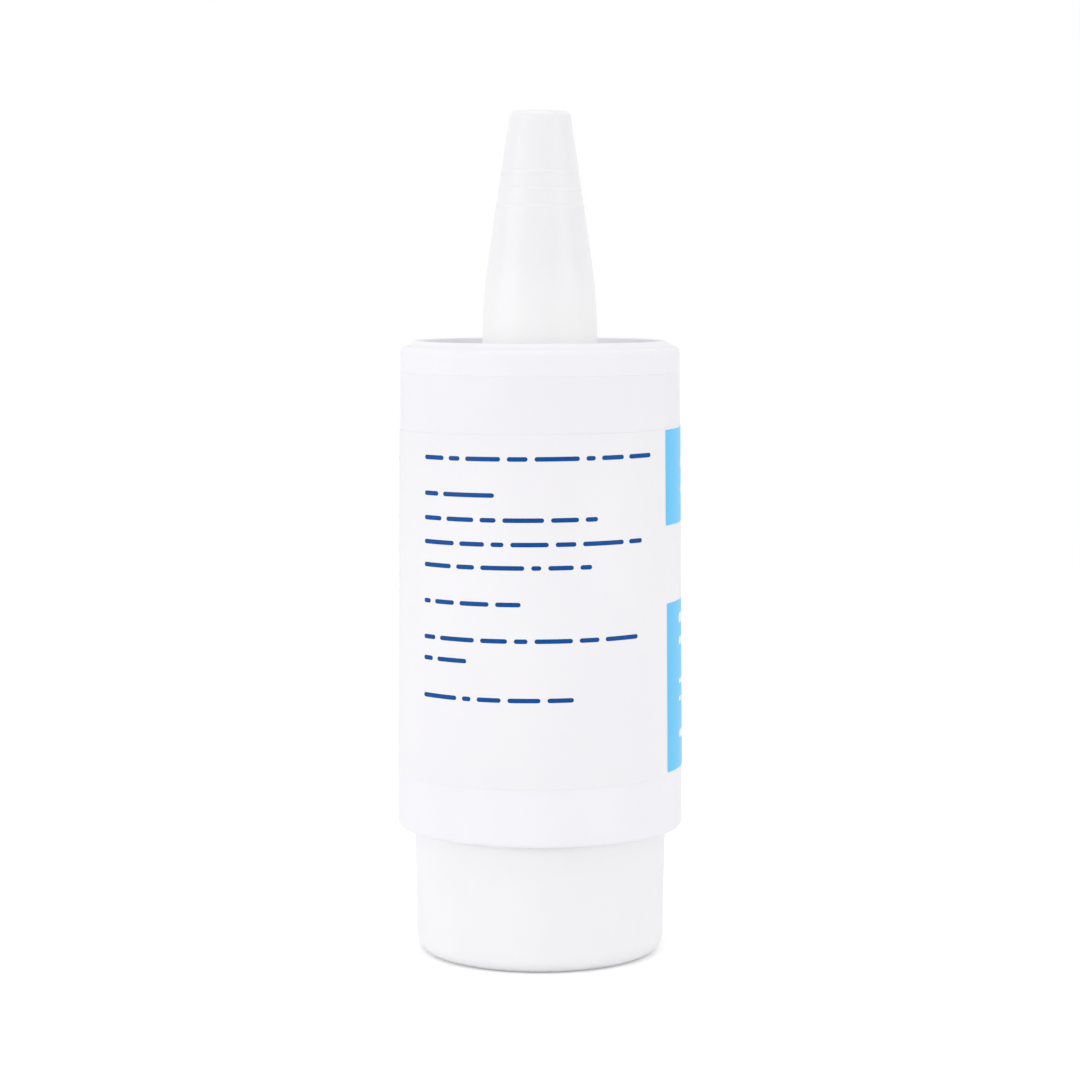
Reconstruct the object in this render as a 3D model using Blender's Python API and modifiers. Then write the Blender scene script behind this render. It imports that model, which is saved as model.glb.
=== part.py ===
"""Eye drop bottle with a push base, built as the separate pieces of its drop pump.

Units are metres, +Z is up, and the origin is the centre of the foot on the table.
The base cup and all it carries stand still. The sleeve, shoulder collar and nozzle move down
over the cup when the base is pushed, the cap pulls off upwards, and two small valves work inside.
"""
import math

import bpy

MM = 0.001

# Facets round the outer pieces, the container and its closure, and the small pump pieces
SIDES = 40
INNER_SIDES = 32
FINE_SIDES = 20
RETURN_COIL_POINTS = 10     # points along one turn of a spring
OUTLET_COIL_POINTS = 8

# Clearances
SLIDE_GAP = 0.20 * MM       # radial, where the base cup runs in the sleeve
SEAT_GAP = 0.20 * MM        # between pieces that sit on or in each other
FINE_GAP = 0.06 * MM        # between the small pieces of the pump
FILM_GAP = 0.05 * MM        # under the wrap label, off the sleeve's edges
STROKE = 3.5 * MM           # travel of one push of the base
MERGE_DISTANCE = 0.01 * MM  # below which the turned points on the axis are one

# Base cup, the pad that the thumb pushes
CUP_FOOT_RADIUS = 14.05 * MM
CUP_DRAFT = math.radians(1.1)
CUP_WALL = 1.1 * MM
CUP_FLOOR = 1.3 * MM
CUP_CORNER = 1.75 * MM
FOOT_RING_WIDTH = 1.8 * MM
FOOT_RECESS = 0.5 * MM
HOOK_GRIP = 0.4 * MM        # reach of the cup's rim in over the container's shoulder
HOOK_HEIGHT = 1.0 * MM
STOP_BEAD_PROUD = 0.45 * MM
STOP_BEAD_HEIGHT = 1.0 * MM
STOP_BEAD_LEAD = 0.6 * MM
VENT_RADIUS = 0.6 * MM

# Outer sleeve
SLEEVE_BASE = 14.6 * MM
SLEEVE_HEIGHT = 51.6 * MM
SLEEVE_WALL = 1.15 * MM
SLEEVE_DRAFT = math.radians(0.51)
SLEEVE_CORNER = 0.45 * MM
LIP_HEIGHT = 1.4 * MM
LIP_LEAD = 0.35 * MM

# Wrap label
LABEL_HEIGHT = 38.8 * MM
LABEL_BASE = 6.5 * MM       # lower edge of the label above the sleeve's lower edge
LABEL_THICKNESS = 0.10 * MM
LABEL_END_GAP = 1.2 * MM
LABEL_SKEW = math.radians(0.5)

# Shoulder collar
COLLAR_HEIGHT = 3.3 * MM
COLLAR_CORNER = 0.75 * MM
SHOULDER_WIDTH = 0.25 * MM
SHOULDER_FALL = 0.06 * MM
RIM_STEP = 0.50 * MM
RIM_SLANT = 0.62 * MM
RIM_WIDTH = 0.38 * MM
RIM_ROUND = 0.12 * MM
RECESS_DEPTH = 1.5 * MM
COLLAR_FLOOR = 1.2 * MM
SPIGOT_LENGTH = 4.8 * MM
SPIGOT_WALL = 1.2 * MM

# Dropper nozzle
NOZZLE_HEIGHT = 16.1 * MM   # from the floor of the recess to the tip
BAND_RADIUS = 5.6 * MM
BAND_HEIGHT = 4.8 * MM
CONE_BASE_RADIUS = 4.85 * MM
CONE_TIP_RADIUS = 3.15 * MM
TIP_ROUND = 1.3 * MM
TIP_CROWN = 0.45 * MM
NOZZLE_WALL = 1.0 * MM
FLANGE_RADIUS = 8.4 * MM
FLANGE_THICKNESS = 1.5 * MM

# Valve tube, pressed into the nozzle
TUBE_RADIUS = 2.4 * MM
TUBE_FLANGE = 1.0 * MM
SOCKET_RADIUS = 1.9 * MM
SOCKET_DEPTH = 10.8 * MM
VALVE_BORE_RADIUS = 1.6 * MM
BOSS_RUN_OUT = 1.5 * MM     # room left under the valve tube at the end of the stroke

# Nozzle's outlet
ORIFICE_RADIUS = 0.35 * MM
ORIFICE_LENGTH = 0.8 * MM
SEAT_CONE_HEIGHT = 1.6 * MM
TUBE_TOP_DEPTH = 0.4 * MM   # from the foot of the seat's cone down to the top of the valve tube

# Outlet pin and its spring
PIN_HEAD_RADIUS = 1.25 * MM
PIN_HEAD_HEIGHT = 1.2 * MM
PIN_SHANK_RADIUS = 0.55 * MM
PIN_SHANK_LENGTH = 7.5 * MM
OUTLET_WIRE = 0.25 * MM
OUTLET_COIL_RADIUS = 0.95 * MM
OUTLET_TURNS = 8

# Protective cap
CAP_HEIGHT = 27.1 * MM
CAP_FOOT_RADIUS = 6.52 * MM
CAP_CURVE_HEIGHT = 11.3 * MM    # the side leaves the foot upright and curves in to the cone
CAP_CURVE_STEPS = 5
CAP_CONE_ANGLE = math.radians(8.4)
CAP_TOP_CORNER = 0.7 * MM
CAP_TOP_CROWN = 0.12 * MM
CAP_WALL = 0.8 * MM
CAP_ROOF = 0.9 * MM
CAP_RIB_BASE = 16.3 * MM    # lowest grip rib above the foot of the cap
CAP_RIB_PITCH = 1.95 * MM
CAP_RIB_PROUD = 0.10 * MM
CAP_RIB_WIDTH = 0.30 * MM
CAP_RIBS = 3
# Outline of one rib from its top down: shares of its width above its middle, and of its height
CAP_RIB_SHARES = ((0.5, 0), (0.2, 1), (-0.2, 1), (-0.5, 0))

# Rigid container and the flexible bag inside it
CONTAINER_HEIGHT = 26.8 * MM    # from its foot to the start of its shoulder
CONTAINER_WALL = 0.8 * MM
CONTAINER_CORNER = 1.5 * MM
SHOULDER_HEIGHT = 4.5 * MM
NECK_RADIUS = 8.5 * MM
NECK_WALL = 1.2 * MM
NECK_LENGTH = 9.0 * MM
NECK_BEAD_PROUD = 0.6 * MM
NECK_BEAD_HEIGHT = 1.0 * MM
NECK_BEAD_DEPTH = 3.0 * MM      # from the neck's rim down to the bead
BAG_FILM = 0.3 * MM

# Closure ring and gasket
GASKET_THICKNESS = 0.8 * MM
GASKET_HOLE_RADIUS = 5.0 * MM
CLOSURE_WALL = 1.1 * MM
CLOSURE_ROOF = 1.2 * MM
CLOSURE_CATCH = 0.45 * MM
CLOSURE_CATCH_HEIGHT = 1.2 * MM
SEAT_RING_RADIUS = 8.3 * MM     # outer radius of the gasket and of the cylinder's flange

# Pump cylinder, stem, seal and inlet valve
CYLINDER_FLANGE = 1.2 * MM
CYLINDER_DEPTH = 12.2 * MM      # from the flange down to the end of the cylinder
BARREL_RADIUS = 3.2 * MM
BORE_RADIUS = 1.8 * MM
TURRET_RADIUS = 3.6 * MM
TURRET_HEIGHT = 4.4 * MM
GUIDE_SEAT_DEPTH = 2.4 * MM
GUIDE_SEAT_RADIUS = 2.8 * MM
GUIDE_FLANGE = 0.9 * MM
INLET_RADIUS = 0.6 * MM
INLET_LENGTH = 1.0 * MM
INLET_SNOUT_RADIUS = 1.9 * MM
BALL_RADIUS = 1.0 * MM
BALL_LIFT = 0.6 * MM
BALL_CHAMBER_RADIUS = 1.35 * MM
BALL_STOP_HEIGHT = 0.8 * MM
BALL_STOP_HOLE = 0.7 * MM
STEM_RADIUS = 1.1 * MM
STEM_HOLE_RADIUS = 0.45 * MM
STEM_HEAD_RADIUS = 1.45 * MM
STEM_END_HEIGHT = 0.5 * MM
SEAL_HEIGHT = 2.0 * MM
SEAL_LIP_HEIGHT = 0.6 * MM
SEAL_WAIST = 0.2 * MM
BOTTOM_CLEARANCE = 0.4 * MM     # between the piston at full stroke and the ball stop

# Return spring
RETURN_WIRE = 0.8 * MM
RETURN_COIL_RADIUS = 5.3 * MM
RETURN_TURNS = 7
COIL_END_GAP = 0.45 * MM    # between the end turns of either spring


def cup_radius(height):
    """Outer radius of the base cup, which widens upwards so that it leaves its mould."""
    return CUP_FOOT_RADIUS + height * math.tan(CUP_DRAFT)


# Heights and radii that follow from the driving sizes, from the table up
LIP_TOP = SLEEVE_BASE + LIP_HEIGHT
SLEEVE_TOP = SLEEVE_BASE + SLEEVE_HEIGHT
STOP_BEAD_BASE = LIP_TOP + SEAT_GAP
STOP_BEAD_TOP = STOP_BEAD_BASE + STOP_BEAD_HEIGHT
STOP_BEAD_RADIUS = cup_radius(STOP_BEAD_TOP) + STOP_BEAD_PROUD
LIP_RADIUS = cup_radius(LIP_TOP) + SLIDE_GAP
CONTAINER_BASE = CUP_FLOOR + SEAT_GAP
CONTAINER_RADIUS = cup_radius(CONTAINER_BASE) - CUP_WALL - SEAT_GAP
CONTAINER_SHOULDER = CONTAINER_BASE + CONTAINER_HEIGHT
SHOULDER_SLOPE = (CONTAINER_RADIUS - NECK_RADIUS) / SHOULDER_HEIGHT
HOOK_RADIUS = CONTAINER_RADIUS - HOOK_GRIP
HOOK_BASE = CONTAINER_SHOULDER + (HOOK_GRIP + SEAT_GAP) / SHOULDER_SLOPE
CUP_HEIGHT = HOOK_BASE + HOOK_HEIGHT

SLEEVE_SLOPE = math.tan(SLEEVE_DRAFT)
BORE_FOR_BEAD = STOP_BEAD_RADIUS + (STOP_BEAD_TOP + STROKE - LIP_TOP) * SLEEVE_SLOPE
BORE_FOR_RIM = cup_radius(CUP_HEIGHT) + (CUP_HEIGHT + STROKE - LIP_TOP) * SLEEVE_SLOPE
SLEEVE_BORE = max(BORE_FOR_BEAD, BORE_FOR_RIM) + SLIDE_GAP


def bore_radius(height):
    """Inner radius of the sleeve, which narrows upwards from its lip."""
    return SLEEVE_BORE - (height - LIP_TOP) * SLEEVE_SLOPE


def sleeve_radius(height):
    """Outer radius of the sleeve."""
    return bore_radius(height) + SLEEVE_WALL


COLLAR_BASE = SLEEVE_TOP + SEAT_GAP
RIM_TOP = COLLAR_BASE + COLLAR_HEIGHT
RECESS_FLOOR = RIM_TOP - RECESS_DEPTH
COLLAR_UNDERSIDE = RECESS_FLOOR - COLLAR_FLOOR
COLLAR_RADIUS = sleeve_radius(SLEEVE_TOP)
RIM_RADIUS = COLLAR_RADIUS - COLLAR_CORNER - SHOULDER_WIDTH

FLANGE_TOP = COLLAR_UNDERSIDE - SEAT_GAP
FLANGE_BASE = FLANGE_TOP - FLANGE_THICKNESS
NOZZLE_TOP = RECESS_FLOOR + NOZZLE_HEIGHT
BAND_TOP = RECESS_FLOOR + BAND_HEIGHT
CAP_BASE = RECESS_FLOOR + SEAT_GAP
CAP_TOP = CAP_BASE + CAP_HEIGHT

NECK_BASE = CONTAINER_SHOULDER + SHOULDER_HEIGHT
NECK_TOP = NECK_BASE + NECK_LENGTH
NECK_BEAD_RADIUS = NECK_RADIUS + NECK_BEAD_PROUD
BAG_TOP = NECK_TOP + SEAT_GAP + BAG_FILM
GASKET_BASE = BAG_TOP + SEAT_GAP
GASKET_TOP = GASKET_BASE + GASKET_THICKNESS
CYLINDER_FLANGE_BASE = GASKET_TOP + SEAT_GAP
CYLINDER_FLANGE_TOP = CYLINDER_FLANGE_BASE + CYLINDER_FLANGE
CLOSURE_ROOF_BASE = CYLINDER_FLANGE_TOP + SEAT_GAP
CLOSURE_TOP = CLOSURE_ROOF_BASE + CLOSURE_ROOF
TURRET_TOP = CYLINDER_FLANGE_TOP + TURRET_HEIGHT
GUIDE_TOP = TURRET_TOP + FINE_GAP + GUIDE_FLANGE

CYLINDER_END = CYLINDER_FLANGE_BASE - CYLINDER_DEPTH
SEAT_CONE_BASE = CYLINDER_END + INLET_LENGTH
BALL_CENTRE = SEAT_CONE_BASE - INLET_RADIUS + math.sqrt(2) * (BALL_RADIUS + FINE_GAP)
BALL_STOP_REST = math.sqrt(BALL_RADIUS ** 2 - BALL_STOP_HOLE ** 2)
BALL_STOP_BASE = BALL_CENTRE + BALL_LIFT + BALL_STOP_REST + FINE_GAP
BALL_STOP_TOP = BALL_STOP_BASE + BALL_STOP_HEIGHT
GUIDE_BASE = TURRET_TOP - GUIDE_SEAT_DEPTH + FINE_GAP
STEM_END = BALL_STOP_TOP + BOTTOM_CLEARANCE + STROKE
SEAL_BASE = STEM_END + STEM_END_HEIGHT + FINE_GAP
SEAL_TOP = SEAL_BASE + SEAL_HEIGHT

BOSS_BASE = GUIDE_TOP + STROKE + BOSS_RUN_OUT
SOCKET_TOP = BOSS_BASE + SOCKET_DEPTH
STEM_TOP = SOCKET_TOP - FINE_GAP
SEAT_CONE_TOP = NOZZLE_TOP - ORIFICE_LENGTH
NOZZLE_SEAT_BASE = SEAT_CONE_TOP - SEAT_CONE_HEIGHT
TUBE_TOP = NOZZLE_SEAT_BASE - TUBE_TOP_DEPTH
NOZZLE_FOOT_RADIUS = CONE_BASE_RADIUS - NOZZLE_WALL


def clear_scene():
    """Remove what the startup file holds."""
    for obj in list(bpy.data.objects):
        bpy.data.objects.remove(obj)


def plastic(name, colour, roughness, metallic=0.0, alpha=1.0):
    """A Principled material in one colour."""
    material = bpy.data.materials.new(name)
    material.use_nodes = True
    shader = material.node_tree.nodes["Principled BSDF"]
    shader.inputs["Base Color"].default_value = (*colour, 1.0)
    shader.inputs["Roughness"].default_value = roughness
    shader.inputs["Metallic"].default_value = metallic
    shader.inputs["Alpha"].default_value = alpha
    return material


def arc(centre_r, centre_z, radius_r, radius_z, start, end, count):
    """Points on an elliptical arc in the turning plane, angles in degrees from outwards to upwards."""
    points = []
    for step in range(count + 1):
        angle = math.radians(start + (end - start) * step / count)
        points.append((centre_r + radius_r * math.cos(angle), centre_z + radius_z * math.sin(angle)))
    return points


def finish_mesh(obj):
    """Replace the modifiers by their result and shade the round faces smooth."""
    graph = bpy.context.evaluated_depsgraph_get()
    mesh = bpy.data.meshes.new_from_object(obj.evaluated_get(graph))
    obj.modifiers.clear()
    obj.data = mesh
    mesh.name = obj.name
    mesh.shade_smooth()
    mesh.set_sharp_from_angle(angle=math.radians(35))


def turned(name, profile, material, sides=SIDES):
    """Turn a profile of (radius, height) points round the Z axis.

    The profile runs down the outside and up the inside. It is a closed loop, unless both of its
    ends lie on the axis.
    """
    on_axis = profile[0][0] == 0 and profile[-1][0] == 0
    count = len(profile)
    edges = [(i, i + 1) for i in range(count - 1)]
    if not on_axis:
        edges.append((count - 1, 0))
    mesh = bpy.data.meshes.new(name)
    mesh.from_pydata([(r, 0.0, z) for r, z in profile], edges, [])
    obj = bpy.data.objects.new(name, mesh)
    PARTS.objects.link(obj)
    screw = obj.modifiers.new("Turn", "SCREW")
    screw.axis = "Z"
    screw.steps = sides
    screw.render_steps = sides
    screw.use_merge_vertices = True
    screw.merge_threshold = MERGE_DISTANCE
    finish_mesh(obj)
    obj.data.materials.append(material)
    return obj


def coil(name, base, top, coil_radius, wire, turns, points_per_turn, material):
    """A compression spring whose end turns lie closer together than the working turns."""
    low, high = base + wire / 2, top - wire / 2
    end_rise = wire + COIL_END_GAP
    working_rise = (high - low - 2 * end_rise) / (turns - 2)
    points = []
    for step in range(turns * points_per_turn + 1):
        turn = step / points_per_turn
        height = low + end_rise * min(turn, 1)
        height += working_rise * min(max(turn - 1, 0), turns - 2)
        height += end_rise * max(turn - (turns - 1), 0)
        angle = 2 * math.pi * turn
        points.append((coil_radius * math.cos(angle), coil_radius * math.sin(angle), height))
    curve = bpy.data.curves.new(name, "CURVE")
    curve.dimensions = "3D"
    curve.bevel_depth = wire / 2
    curve.bevel_resolution = 1
    curve.use_fill_caps = True
    spline = curve.splines.new("POLY")
    spline.points.add(len(points) - 1)
    for point, place in zip(spline.points, points):
        point.co = (*place, 1.0)
    obj = bpy.data.objects.new(name, curve)
    PARTS.objects.link(obj)
    curve.materials.append(material)
    print(name, "gap between turns in mm:", round((min(end_rise, working_rise) - wire) / MM, 3))
    return obj


def base_cup(material):
    """The pad under the bottle: a cup open at the top that carries the container."""
    bore = cup_radius(HOOK_BASE) - CUP_WALL
    lead = HOOK_BASE - (bore - HOOK_RADIUS)
    foot_outer = cup_radius(CUP_CORNER) - CUP_CORNER
    foot_inner = foot_outer - FOOT_RING_WIDTH
    profile = [
        (VENT_RADIUS, CUP_FLOOR),
        (cup_radius(CUP_FLOOR) - CUP_WALL, CUP_FLOOR),
        (cup_radius(lead) - CUP_WALL, lead),
        (HOOK_RADIUS, HOOK_BASE),
        (HOOK_RADIUS, CUP_HEIGHT),
        (cup_radius(CUP_HEIGHT), CUP_HEIGHT),
        (cup_radius(STOP_BEAD_TOP + STOP_BEAD_LEAD), STOP_BEAD_TOP + STOP_BEAD_LEAD),
        (STOP_BEAD_RADIUS, STOP_BEAD_TOP),
        (STOP_BEAD_RADIUS, STOP_BEAD_BASE),
        (cup_radius(STOP_BEAD_BASE), STOP_BEAD_BASE),
    ]
    profile += arc(foot_outer, CUP_CORNER, CUP_CORNER, CUP_CORNER, 0, -90, 5)
    profile += [
        (foot_inner, 0.0),
        (foot_inner - FOOT_RECESS, FOOT_RECESS),
        (VENT_RADIUS, FOOT_RECESS),
    ]
    return turned("base_cup", profile, material)


def container(material):
    """The rigid bottle inside the cup, with a vent in its floor and a bead round its neck."""
    bead_top = NECK_TOP - NECK_BEAD_DEPTH
    bead_base = bead_top - NECK_BEAD_HEIGHT
    inner = CONTAINER_RADIUS - CONTAINER_WALL
    neck_bore = NECK_RADIUS - NECK_WALL
    corner = CONTAINER_RADIUS - CONTAINER_CORNER
    inner_corner = CONTAINER_CORNER - CONTAINER_WALL
    floor = CONTAINER_BASE + CONTAINER_WALL
    profile = [
        (NECK_RADIUS, NECK_TOP),
        (NECK_RADIUS, bead_top + NECK_BEAD_PROUD),
        (NECK_BEAD_RADIUS, bead_top),
        (NECK_BEAD_RADIUS, bead_base),
        (NECK_RADIUS, bead_base),
        (NECK_RADIUS, NECK_BASE),
        (CONTAINER_RADIUS, CONTAINER_SHOULDER),
    ]
    profile += arc(corner, CONTAINER_BASE + CONTAINER_CORNER, CONTAINER_CORNER, CONTAINER_CORNER, 0, -90, 3)
    profile.append((VENT_RADIUS, CONTAINER_BASE))
    profile.append((VENT_RADIUS, floor))
    profile += arc(corner, floor + inner_corner, inner_corner, inner_corner, -90, 0, 3)
    profile += [
        (inner, CONTAINER_SHOULDER),
        (neck_bore, NECK_BASE),
        (neck_bore, NECK_TOP),
    ]
    return turned("container", profile, material, INNER_SIDES)


def inner_bag(material):
    """The flexible bag that holds the drops, lining the container and clamped over its neck."""
    outer = CONTAINER_RADIUS - CONTAINER_WALL - SEAT_GAP
    neck_outer = NECK_RADIUS - NECK_WALL - SEAT_GAP
    base = CONTAINER_BASE + CONTAINER_WALL + SEAT_GAP
    corner = CONTAINER_CORNER
    flange = NECK_TOP + SEAT_GAP
    profile = [
        (SEAT_RING_RADIUS, BAG_TOP),
        (SEAT_RING_RADIUS, flange),
        (neck_outer, flange),
        (neck_outer, NECK_BASE),
        (outer, CONTAINER_SHOULDER),
    ]
    profile += arc(outer - corner, base + corner, corner, corner, 0, -90, 3)
    profile.append((0.0, base))
    inside = [(0.0, base + BAG_FILM)]
    inside += arc(outer - corner, base + corner, corner - BAG_FILM, corner - BAG_FILM, -90, 0, 3)
    inside += [
        (outer - BAG_FILM, CONTAINER_SHOULDER),
        (neck_outer - BAG_FILM, NECK_BASE),
        (neck_outer - BAG_FILM, BAG_TOP),
    ]
    return turned("inner_bag", inside + profile, material, INNER_SIDES)


def neck_gasket(material):
    """The soft ring that seals the pump on the neck."""
    profile = [
        (SEAT_RING_RADIUS, GASKET_TOP),
        (SEAT_RING_RADIUS, GASKET_BASE),
        (GASKET_HOLE_RADIUS, GASKET_BASE),
        (GASKET_HOLE_RADIUS, GASKET_TOP),
    ]
    return turned("neck_gasket", profile, material, INNER_SIDES)


def closure_ring(material):
    """The snap ring that clamps the pump's flange down on the neck."""
    bore = NECK_BEAD_RADIUS + SEAT_GAP
    outer = bore + CLOSURE_WALL
    hole = TURRET_RADIUS + SEAT_GAP
    catch_top = NECK_TOP - NECK_BEAD_DEPTH - NECK_BEAD_HEIGHT - SEAT_GAP
    catch_base = catch_top - CLOSURE_CATCH_HEIGHT
    profile = [
        (outer - CLOSURE_ROOF / 2, CLOSURE_TOP),
        (outer, CLOSURE_TOP - CLOSURE_ROOF / 2),
        (outer, catch_base),
        (bore, catch_base),
        (bore - CLOSURE_CATCH, catch_top - CLOSURE_CATCH),
        (bore - CLOSURE_CATCH, catch_top),
        (bore, catch_top),
        (bore, CLOSURE_ROOF_BASE),
        (hole, CLOSURE_ROOF_BASE),
        (hole, CLOSURE_TOP),
    ]
    return turned("closure_ring", profile, material, INNER_SIDES)


def pump_cylinder(material):
    """The pump's barrel with its clamping flange, its turret above and the inlet valve's seat below."""
    seat_top = SEAT_CONE_BASE + BALL_CHAMBER_RADIUS - INLET_RADIUS
    stop_seat = BALL_STOP_BASE - FINE_GAP
    guide_seat = TURRET_TOP - GUIDE_SEAT_DEPTH
    snout = BARREL_RADIUS - INLET_SNOUT_RADIUS
    profile = [
        (TURRET_RADIUS, TURRET_TOP),
        (TURRET_RADIUS, CYLINDER_FLANGE_TOP),
        (SEAT_RING_RADIUS, CYLINDER_FLANGE_TOP),
        (SEAT_RING_RADIUS, CYLINDER_FLANGE_BASE),
        (BARREL_RADIUS, CYLINDER_FLANGE_BASE),
        (BARREL_RADIUS, CYLINDER_END + snout),
        (INLET_SNOUT_RADIUS, CYLINDER_END),
        (INLET_RADIUS, CYLINDER_END),
        (INLET_RADIUS, SEAT_CONE_BASE),
        (BALL_CHAMBER_RADIUS, seat_top),
        (BALL_CHAMBER_RADIUS, stop_seat),
        (BORE_RADIUS, stop_seat),
        (BORE_RADIUS, guide_seat),
        (GUIDE_SEAT_RADIUS, guide_seat),
        (GUIDE_SEAT_RADIUS, TURRET_TOP),
    ]
    return turned("pump_cylinder", profile, material, FINE_SIDES)


def stem_guide(material):
    """The bush in the turret that guides the stem and stops the piston at the top."""
    hole = STEM_RADIUS + FINE_GAP
    plug = GUIDE_SEAT_RADIUS - FINE_GAP
    flange_base = TURRET_TOP + FINE_GAP
    profile = [
        (TURRET_RADIUS, GUIDE_TOP),
        (TURRET_RADIUS, flange_base),
        (plug, flange_base),
        (plug, GUIDE_BASE),
        (hole, GUIDE_BASE),
        (hole, GUIDE_TOP),
    ]
    return turned("stem_guide", profile, material, FINE_SIDES)


def ball_stop(material):
    """The bush pressed in above the inlet ball, which limits its lift."""
    outer = BORE_RADIUS - FINE_GAP
    profile = [
        (outer, BALL_STOP_TOP),
        (outer, BALL_STOP_BASE),
        (BALL_STOP_HOLE, BALL_STOP_BASE),
        (BALL_STOP_HOLE, BALL_STOP_TOP),
    ]
    return turned("ball_stop", profile, material, FINE_SIDES)


def inlet_ball(material):
    """The valve ball over the inlet, resting on its conical seat."""
    profile = arc(0.0, BALL_CENTRE, BALL_RADIUS, BALL_RADIUS, 90, -90, 8)
    profile[0] = (0.0, BALL_CENTRE + BALL_RADIUS)
    profile[-1] = (0.0, BALL_CENTRE - BALL_RADIUS)
    return turned("inlet_ball", profile, material, FINE_SIDES)


def piston_stem(material):
    """The hollow stem that joins the nozzle to the piston seal and carries each drop upwards."""
    plug = SOCKET_RADIUS - FINE_GAP
    seal_seat = SEAL_TOP + FINE_GAP
    shoulder_top = GUIDE_BASE - SEAT_GAP
    profile = [
        (plug, STEM_TOP),
        (plug, BOSS_BASE),
        (STEM_RADIUS, BOSS_BASE),
        (STEM_RADIUS, shoulder_top),
        (STEM_HEAD_RADIUS, shoulder_top),
        (STEM_HEAD_RADIUS, seal_seat),
        (STEM_RADIUS, seal_seat),
        (STEM_RADIUS, SEAL_BASE - FINE_GAP),
        (STEM_HEAD_RADIUS, SEAL_BASE - FINE_GAP),
        (STEM_HEAD_RADIUS, STEM_END),
        (STEM_HOLE_RADIUS, STEM_END),
        (STEM_HOLE_RADIUS, STEM_TOP),
    ]
    return turned("piston_stem", profile, material, FINE_SIDES)


def piston_seal(material):
    """The double lip seal on the stem, which runs in the cylinder's bore."""
    lip = BORE_RADIUS - FINE_GAP
    waist = lip - SEAL_WAIST
    bore = STEM_RADIUS + FINE_GAP
    profile = [
        (lip, SEAL_TOP),
        (lip, SEAL_TOP - SEAL_LIP_HEIGHT),
        (waist, SEAL_TOP - SEAL_LIP_HEIGHT),
        (waist, SEAL_BASE + SEAL_LIP_HEIGHT),
        (lip, SEAL_BASE + SEAL_LIP_HEIGHT),
        (lip, SEAL_BASE),
        (bore, SEAL_BASE),
        (bore, SEAL_TOP),
    ]
    return turned("piston_seal", profile, material, FINE_SIDES)


def outer_sleeve(material):
    """The labelled tube that the fingers hold, with a lip that keeps the cup from falling out."""
    low = sleeve_radius(SLEEVE_BASE)
    corner = sleeve_radius(SLEEVE_BASE + SLEEVE_CORNER) - SLEEVE_CORNER
    profile = [(sleeve_radius(SLEEVE_TOP), SLEEVE_TOP)]
    profile += arc(corner, SLEEVE_BASE + SLEEVE_CORNER, low - corner, SLEEVE_CORNER, 0, -90, 3)
    profile += [
        (LIP_RADIUS + LIP_LEAD, SLEEVE_BASE),
        (LIP_RADIUS, SLEEVE_BASE + LIP_LEAD),
        (LIP_RADIUS, LIP_TOP),
        (bore_radius(LIP_TOP), LIP_TOP),
        (bore_radius(SLEEVE_TOP), SLEEVE_TOP),
    ]
    return turned("outer_sleeve", profile, material)


def shoulder_collar(material):
    """The ring that closes the sleeve's top, with a raised rim round a recess for the cap's foot."""
    shoulder_outer = COLLAR_RADIUS - COLLAR_CORNER
    shoulder_top = RIM_TOP - RIM_STEP
    corner_top = shoulder_top - SHOULDER_FALL
    recess = RIM_RADIUS - RIM_SLANT - RIM_WIDTH
    spigot_base = COLLAR_BASE - SPIGOT_LENGTH
    spigot = bore_radius(COLLAR_BASE) - SEAT_GAP
    hole = BAND_RADIUS + SEAT_GAP
    profile = [
        (recess + RIM_ROUND, RIM_TOP),
        (RIM_RADIUS - RIM_SLANT, RIM_TOP),
        (RIM_RADIUS, shoulder_top),
    ]
    profile += arc(shoulder_outer, corner_top - COLLAR_CORNER, COLLAR_CORNER, COLLAR_CORNER, 90, 0, 5)
    profile += [
        (COLLAR_RADIUS, COLLAR_BASE),
        (spigot, COLLAR_BASE),
        (spigot, spigot_base),
        (spigot - SPIGOT_WALL, spigot_base),
        (spigot - SPIGOT_WALL, COLLAR_UNDERSIDE),
        (hole, COLLAR_UNDERSIDE),
        (hole, RECESS_FLOOR),
        (recess, RECESS_FLOOR),
        (recess, RIM_TOP - RIM_ROUND),
    ]
    return turned("shoulder_collar", profile, material)


def dropper_nozzle(material):
    """The conical nozzle, with its flange under the collar and the outlet valve's seat in its tip."""
    tip_base = NOZZLE_TOP - TIP_CROWN - TIP_ROUND
    tip_flat = CONE_TIP_RADIUS - TIP_ROUND
    step_top = BAND_TOP + BAND_RADIUS - CONE_BASE_RADIUS
    slope = (CONE_BASE_RADIUS - CONE_TIP_RADIUS) / (tip_base - step_top)
    tube_hole = TUBE_RADIUS + FINE_GAP
    hole_base = step_top + (NOZZLE_FOOT_RADIUS - tube_hole) / slope
    profile = [(ORIFICE_RADIUS, NOZZLE_TOP)]
    profile += arc(tip_flat, tip_base, TIP_ROUND, TIP_ROUND, 90, 0, 4)
    profile += [
        (CONE_BASE_RADIUS, step_top),
        (BAND_RADIUS, BAND_TOP),
        (BAND_RADIUS, FLANGE_TOP),
        (FLANGE_RADIUS, FLANGE_TOP),
        (FLANGE_RADIUS, FLANGE_BASE),
        (NOZZLE_FOOT_RADIUS, FLANGE_BASE),
        (NOZZLE_FOOT_RADIUS, step_top),
        (tube_hole, hole_base),
        (tube_hole, TUBE_TOP + FINE_GAP),
        (VALVE_BORE_RADIUS, TUBE_TOP + FINE_GAP),
        (VALVE_BORE_RADIUS, NOZZLE_SEAT_BASE),
        (ORIFICE_RADIUS, SEAT_CONE_TOP),
    ]
    return turned("dropper_nozzle", profile, material)


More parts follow.
